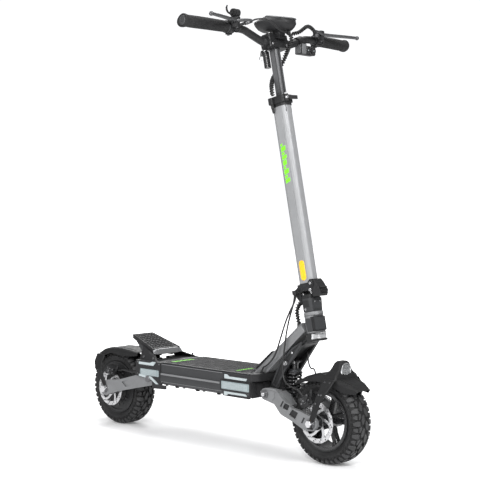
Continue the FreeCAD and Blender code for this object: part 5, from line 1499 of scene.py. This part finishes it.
def guard_pieces():
    for stations, end in [(FRONT_GUARD, "front"), (REAR_GUARD, "rear")]:
        name = end + "_mudguard"
        steps = 4 * (len(stations) - 1)
        shell = Form().loft([guard_ring(between(stations, k / steps)) for k in range(steps + 1)])
        make(name + "_shell", shell, end + "_arm", guard_plastic, 0.5, replaces=[name])

    # raised ridge lines along the top of each mudguard
    for stations, end in [(FRONT_GUARD, "front"), (REAR_GUARD, "rear")]:
        for y_share, hand in [(-0.62, "right"), (0.62, "left")]:
            rings = []
            for k in range(3, 28):
                x0, z0, x1, z1, half = between(stations, k / 30)
                ridge = Vector((x0, half * y_share, z0))
                up = Vector((x0 - x1, 0, z0 - z1)).normalized()
                rings.append([ridge + up * rise + Vector((0, y, 0)) for rise, y in
                              [(-0.4, -2.2), (1.3, -0.8), (1.3, 0.8), (-0.4, 2.2)]])
            make(end + "_guard_crest_" + hand, Form().loft(rings), end + "_arm", guard_plastic,
                 0)

    stays = Form()
    levels = [(112, 449, 471, 94.4, 3.2), (127, 451, 471, 93.8, 3.2), (150, 460, 481, 92.6, 3.2),
              (190, 472, 497, 91.8, 3.2), (217, 483, 516, 90.6, 3.4), (236, 480, 519, 72, 3.4),
              (254, 474, 521, 55.2, 3.4)]
    rings = []
    for z, x0, x1, y, thick in levels:
        rings.append([Vector((x0, y - thick / 2, z)), Vector((x0 + 4, y + thick / 2, z)),
                      Vector((x1 - 4, y + thick / 2, z)), Vector((x1, y - thick / 2, z)),
                      Vector((x1 - 5, y - thick / 2 - 1.2, z)), Vector((x0 + 5, y - thick / 2 - 1.2, z))])
    stays.loft(rings)
    make("front_guard_stays", stays.both(), "front_arm", guard_plastic, 0.5)
    rivets = Form()
    for x, y, z, way in [(481, 93.6, 188, (0, 1, 0)), (492, 92.4, 214, (0, 1, 0.1)),
                         (500, 92.4, 214, (0, 1, 0.1)), (489, 62.5, 246, (0, 0.72, 0.7)),
                         (508, 62.5, 246, (0, 0.72, 0.7))]:
        rivets.bolt((x, y, z), way, 2.7, 1.6)
    make("front_guard_rivets", rivets.both(), "front_arm", dull_steel, 0.15)

    rear = Form()
    rings = []
    for x, z, y, half in [(-459, 140, 90.6, 9), (-472, 165, 90.6, 12), (-492, 192, 90.0, 17),
                          (-512, 214, 74, 21), (-522, 238, 52.5, 22)]:
        rings.append([Vector((x - half, y - 1.4, z)), Vector((x - half + 3, y + 1.8, z)),
                      Vector((x + half - 3, y + 1.8, z)), Vector((x + half, y - 1.4, z))])
    rear.loft(rings)
    make("rear_guard_stays", rear.both(), "rear_arm", guard_plastic, 0.5)
    flap = Form().prism(eased([(-30, 184), (30, 184), (26, 205), (-26, 205)], 4), -583.0, -580.2,
                        lambda u, v, w: Vector((w + (v - 184) * 0.52, u, v)))
    make("rear_reflector", flap, "rear_arm", red_lens, 0.5)


def lamp_pieces():
    # a faceted bridge over the mudguard carries the round lamp
    hood = Form()
    levels = [(250, 472, 521, 55), (262, 474, 519, 50), (272, 478, 516, 37), (284, 482, 515.4, 27),
              (297, 487, 515, 22), (303, 492, 512, 15)]
    rings = []
    for z, x0, x1, half in levels:
        cut = min(6, half * 0.3)
        rings.append([Vector((x, y, z)) for x, y in
                      [(x0, -half + cut), (x0 + 4, -half), (x1 - 4, -half), (x1, -half + cut),
                       (x1, half - cut), (x1 - 4, half), (x0 + 4, half), (x0, half - cut)]])
    hood.loft(rings)
    hood.turned([(0, 25), (1.4, 25.6), (16, 25), (24, 20), (27, 12)], (516, 0, 276), (480, 0, 276), 48)
    make("lamp_hood", hood, "front_arm", guard_plastic, 0.8, replaces=["headlight"])
    ahead = Vector((520, 0, 276))
    ring = Form().turned([(0, 22.6), (1.4, 22.8), (2.6, 21.8), (2.8, 19.4), (1.4, 18.2), (0.4, 18.0)],
                         (514.6, 0, 276), ahead, 48)
    make("lamp_ring", ring, "front_arm", chrome, 0)
    bowl = Form().turned([(0, 18.2), (-2.4, 17.2), (-5.0, 13.4), (-7.0, 7.0), (-7.4, 3.0)],
                         (515.8, 0, 276), ahead, 48)
    make("lamp_bowl", bowl, "front_arm", lamp_glass, 0)
    lens = Form().turned([(0, 18.4), (1.0, 18.0), (2.4, 14.6), (3.4, 9.8), (3.8, 4.0), (3.9, 0.6)],
                         (515.4, 0, 276), ahead, 48)
    make("lamp_lens", lens, "front_arm", lamp_clear, 0)
    emitter = Form().block(510.6, 511.8, -4, 4, 272, 280)
    for k in range(6):
        a = math.radians(60 * k)
        spot = Vector((510.6, 11 * math.cos(a), 276 + 11 * math.sin(a)))
        emitter.turned([(0, 2.0), (1.6, 1.8), (2.2, 0.8)], spot, spot + Vector((6, 0, 0)), 12)
    make("lamp_emitters", emitter, "front_arm", trim_pale, 0.2)


# ---- dampers ----------------------------------------------------------------------------

# the shock body passes through the preload rings
PRELOAD_BORE = 11.0


def shock_details():
    for low, high, spring_top, radius, upper, end_name in [
            ((316.0, 184.0), (321.5, 282.8), 66, 25, "steer", "front"),
            ((-260.0, 168.0), (-297.5, 255.3), 62, 22, "frame", "rear")]:
        name = end_name + "_shock"
        start = Vector((low[0], 0, low[1]))
        end = Vector((high[0], 0, high[1]))
        way = (end - start).normalized()
        collars = Form()
        top_seat = start + way * spring_top
        for shift, wide in [(4.4, 0), (9.0, -2.0)]:
            outer = radius - 3 + wide
            collars.turned([(shift, outer - 1), (shift + 0.7, outer), (shift + 3.0, outer),
                            (shift + 3.7, outer - 1), (shift + 3.7, PRELOAD_BORE), (shift, PRELOAD_BORE)],
                           top_seat, end, 16, joined=True)
        make(name + "_preload_rings", collars, upper, anodised, 0.3)
        cap = Form().turned_pair([(0, 8.6), (1.4, 8.6), (2.0, 8.0)], (high[0], 9.6, high[1]), 28)
        make(name + "_eye_rings", cap, upper, bright, 0.2)
        bumper = Form().turned([(18.4, 7.8), (19.6, 9.0), (24, 9.0), (25, 8.0), (26, 8.0), (27, 9.0),
                                (31, 8.6), (32, 7.4)], start, end, 28)
        make(name + "_bump_stop", bumper, name + "_rod", soft_black, 0.3)


# ---- cords --------------------------------------------------------------------------------

def on_stem(ahead, left, up):
    return tuple(lean(ahead, left, up))


# each cord: name, diameter, body, far body and route
CORDS = [
    ("stem_cord", 7.2, "bar", "stem",
     [(284, 8, 1266), (296, 9, 1262), (294, 14, 1240), (276, 22, 1222), (252, 32, 1198), (236, 30, 1168),
      (232, 4, 1140), (244, -20, 1114), (253, -28, 1094), (256.5, -28, 1076)]),
    ("left_control_cord", 5.0, "bar", None,
     [(291, 19, 1262), (296, 42, 1266), (296, 64, 1280), (290, 92, 1295), (280, 128, 1291),
      (276.6, 138, 1285)]),
    ("right_control_cord", 5.0, "bar", None,
     [(290, 0, 1262), (295, -42, 1266), (296, -64, 1280), (290, -92, 1295), (280, -128, 1291),
      (276.6, -138, 1285)]),
    ("neck_harness", 8.0, "steer", "frame",
     [on_stem(-18, 0, -26), on_stem(-46, 0, -26), (329, 0, 440), (337.5, -4, 414), (340.7, -4, 401.5)]),
    ("rear_brake_cord", 5.0, "steer", "frame",
     [on_stem(-31, -31.2, -4), on_stem(-31, -31.2, -17), (322, -36, 420), (304, -46, 352),
      (290, -52, 304), (262, -55, 272), (240, -56, 264), (240, -56, 247)]),
    ("front_brake_cord", 5.0, "steer", "front_arm",
     [on_stem(-31, -37, -4.1), on_stem(-31, -37, -17), (330, -42, 400), (320, -47, 320),
      (318, -52, 262), (332, -58, 228), (372, -62, 216), (397, -62, 211.3), (407, -62, 194.2)]),
    ("lamp_cord", 4.4, "steer", "front_arm",
     [(351, 24, 315), (356, 20, 288), (374, 10, 266), (395, 6, 270), (398, 5, 252)]),
    ("motor_cord", 6.4, "frame", "rear_arm",
     [(-252, -84, 235.9), (-252, -84, 214), (-298, -80, 199), (-345, -73, 194), (-388, -66, 198),
      (-408.3, -62, 190.4), (-424, -62, 192.6)]),
]
# the CAD nodes that cords stand for
CORD_NODES = {"stem_cord": "handlebar_cables", "neck_harness": "steering_cables",
              "front_brake_cord": "front_cables", "motor_cord": "motor_cable"}


def cord_line(name, route):
    """Points along the smooth NURBS line of a route, in metres."""
    curve = bpy.data.curves.new(name + "_line", "CURVE")
    curve.dimensions = "3D"
    curve.resolution_u = 14
    spline = curve.splines.new("NURBS")
    spline.points.add(len(route) - 1)
    for point, place in zip(spline.points, route):
        point.co = (place[0] * MM, place[1] * MM, place[2] * MM, 1)
    spline.order_u = 3
    spline.use_endpoint_u = True
    holder = bpy.data.objects.new(name + "_line", curve)
    bpy.context.scene.collection.objects.link(holder)
    bpy.context.view_layer.update()
    mesh = bpy.data.meshes.new_from_object(holder.evaluated_get(bpy.context.evaluated_depsgraph_get()))
    bpy.data.objects.remove(holder)
    return [v.co.copy() for v in mesh.vertices]


def cord_pieces():
    for name, diameter, body, far_body, route in CORDS:
        line = cord_line(name, route)
        path = [p / MM for p in line]
        form = Form().sweep(path, [diameter / 2] * len(path), 14)
        length = sum((b - a).length for a, b in zip(line, line[1:]))
        nodes_for = [CORD_NODES[name]] if name in CORD_NODES else []
        cord = make_cord(name, form, body, far_body, route, nodes_for)
        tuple(line[0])
        if name in ("stem_cord", "neck_harness", "left_control_cord"):
            wrap = wrap_form(path, diameter / 2 + 1.4)
            make_cord(name + "_wrap", wrap, body, far_body, route, [])


def make_cord(name, form, body, far_body, route, nodes_for):
    """A cord's mesh; one that runs between two bodies is left in place with its transform baked, on no
    body.
    """
    mesh = bpy.data.meshes.new(name)
    mesh.from_pydata([p * MM for p in form.points], [], form.faces)
    mesh.shade_smooth()
    obj = bpy.data.objects.new(name, mesh)
    bpy.context.scene.collection.objects.link(obj)
    dress(obj, cable_rubber)
    if far_body:
        start, end = Vector(route[0]) * MM, Vector(route[-1]) * MM
        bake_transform(obj)
    else:
        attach(obj, body)
    if nodes_for:
        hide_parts(*nodes_for)
    return obj


def wrap_form(path, radius):
    """Spiral wrap lying on a cord, read from the cord's own line."""
    ways = carried(path)
    reach = [0.0]
    for a, b in zip(path, path[1:]):
        reach.append(reach[-1] + (b - a).length)
    coil = []
    pitch = 8.0
    total = reach[-1]
    steps = int(total / pitch * 16)
    k = 0
    for n in range(steps + 1):
        along = total * n / steps
        while k < len(path) - 2 and reach[k + 1] < along:
            k += 1
        share = (along - reach[k]) / max(reach[k + 1] - reach[k], 1e-6)
        middle = path[k].lerp(path[k + 1], min(max(share, 0), 1))
        one = ways[k][0].lerp(ways[k + 1][0], min(max(share, 0), 1)).normalized()
        way = (path[k + 1] - path[k]).normalized()
        one = (one - way * one.dot(way)).normalized()
        two = way.cross(one)
        turn = 2 * math.pi * along / pitch
        coil.append(middle + (one * math.cos(turn) + two * math.sin(turn)) * (radius + 0.5))
    return Form().sweep(coil, [2.0] * len(coil), 6, [1.6] * len(coil))


# ---- small fittings ------------------------------------------------------------------------

def fitting_pieces():
    ties = Form().turned([(0, 5.4), (0.5, 6.2), (3.5, 6.2), (4, 5.4)], (333, -4, 428), (331.5, -3.6, 434),
                         20)
    make("harness_tie", ties, "frame", black_plastic, 0.2)
    clip = Form().prism(eased(rect(246, 234, -62, -50), 3), 246.6, 250.4, top)
    clip.turned([(0, 4.6), (3, 4.6), (5, 3.8), (8, 3.4)], (240, -56, 249.8), (240, -56, 260), 18)
    make("brake_cord_gland", clip, "frame", black_plastic, 0.3)
    stand = Form().turned([(0, 7.4), (1, 8.2), (14, 8.2), (16, 6.6)], (96, 86.6, 161), (114, 88.2, 161),
                          20)
    make("kickstand_foot", stand, "kickstand", soft_black, 0.4)


# ---- floor, light and camera -----------------------------------------------------------------

def glass_like(name):
    """Clear lamp lens with fine vertical flutes."""
    made = finish(name, (0.90, 0.93, 0.95), 0.08, grain=500, bump=0.25, mottle=0.01, spread=0.02,
                  pattern=ribs(140, "Y", 1.2))
    shader = made.node_tree.nodes["Principled BSDF"]
    shader.inputs["Transmission Weight"].default_value = 0.85
    shader.inputs["IOR"].default_value = 1.45
    return made


lamp_clear = glass_like("lamp_clear")


def floor_with_painted_shade():
    made = finish("studio_floor_painted_shade", (0.90, 0.90, 0.905), 0.75, grain=60, bump=0.01, mottle=0.004)
    shader = made.node_tree.nodes["Principled BSDF"]
    shader.inputs["Emission Color"].default_value = (1, 1, 1, 1)
    # painted shade: camera rays see the floor glow, dim near the scooter's place and full white from 2.4
    # m out, so the floor round the scooter is painted darker than the rest
    seen = made.node_tree.nodes.new("ShaderNodeLightPath")
    level = made.node_tree.nodes.new("ShaderNodeMapRange")
    where = made.node_tree.nodes.new("ShaderNodeTexCoord")
    reach = made.node_tree.nodes.new("ShaderNodeVectorMath")
    reach.operation = "LENGTH"
    level.inputs["From Min"].default_value = 0.6
    level.inputs["From Max"].default_value = 2.4
    level.inputs["To Min"].default_value = 0.14
    level.inputs["To Max"].default_value = 1.05
    shown = made.node_tree.nodes.new("ShaderNodeMath")
    shown.operation = "MULTIPLY"
    made.node_tree.links.new(where.outputs["Object"], reach.inputs[0])
    made.node_tree.links.new(reach.outputs["Value"], level.inputs["Value"])
    made.node_tree.links.new(seen.outputs["Is Camera Ray"], shown.inputs[0])
    made.node_tree.links.new(level.outputs["Result"], shown.inputs[1])
    made.node_tree.links.new(shown.outputs["Value"], shader.inputs["Emission Strength"])
    return made


def studio():
    scene = bpy.context.scene
    mesh = bpy.data.meshes.new("floor")
    reach = 14.0
    mesh.from_pydata([(-reach, -reach, 0), (reach, -reach, 0), (reach, reach, 0), (-reach, reach, 0)], [],
                     [(0, 1, 2, 3)])
    floor = bpy.data.objects.new("floor", mesh)
    scene.collection.objects.link(floor)
    dress(floor, floor_with_painted_shade())

    world = bpy.data.worlds.new("studio")
    scene.world = world
    world.use_nodes = True
    sky = world.node_tree.nodes["Background"]
    sky.inputs["Color"].default_value = (0.98, 0.985, 1.0, 1)
    # the backdrop is white to the eye and dimmer as a light
    seen = world.node_tree.nodes.new("ShaderNodeLightPath")
    level = world.node_tree.nodes.new("ShaderNodeMapRange")
    level.inputs["To Min"].default_value = 0.32
    level.inputs["To Max"].default_value = 1.08
    world.node_tree.links.new(seen.outputs["Is Camera Ray"], level.inputs["Value"])
    world.node_tree.links.new(level.outputs["Result"], sky.inputs["Strength"])

    for name, place, aim, size, power in [
            ("key", (3.4, -0.6, 2.6), (0, 0, 0.5), 1.8, 105),
            ("fill", (-0.6, -3.6, 1.8), (0, 0, 0.5), 1.8, 60),
            ("top", (-0.4, 0.4, 3.6), (0, 0, 0.3), 2.2, 70),
            ("rim", (-3.2, 2.4, 2.4), (0, 0, 0.6), 1.6, 60),
            ("spark", (2.2, -2.8, 2.2), (0, 0, 0.5), 0.3, 60)]:
        lamp = bpy.data.lights.new(name, "AREA")
        lamp.energy = power
        lamp.size = size
        holder = bpy.data.objects.new(name, lamp)
        holder.location = place
        holder.rotation_mode = "QUATERNION"
        holder.rotation_quaternion = (Vector(aim) - Vector(place)).to_track_quat("-Z", "Y")
        scene.collection.objects.link(holder)

    camera = bpy.data.cameras.new("camera")
    camera.lens = 86.28
    camera.sensor_width = 36.0
    camera.clip_end = 60
    holder = bpy.data.objects.new("camera", camera)
    holder.location = (2.5761, -2.5779, 0.7441)
    turn, dip = math.radians(43.91), math.radians(1.63)
    ahead = Vector((-math.sin(turn) * math.cos(dip), math.cos(turn) * math.cos(dip), -math.sin(dip)))
    holder.rotation_mode = "QUATERNION"
    holder.rotation_quaternion = ahead.to_track_quat("-Z", "Y")
    scene.collection.objects.link(holder)
    scene.camera = holder
    scene.view_settings.view_transform = "Standard"


for build in (stem_pieces, deck_pieces, kick_pieces, head_pieces, grip_pieces, control_pieces,
              lever_pieces, display_pieces, clamp_pieces, switch_pieces, front_wheel_pieces,
              rear_wheel_pieces, arm_pieces, caliper_details, guard_pieces, lamp_pieces, shock_details,
              cord_pieces, fitting_pieces, studio):
    build()
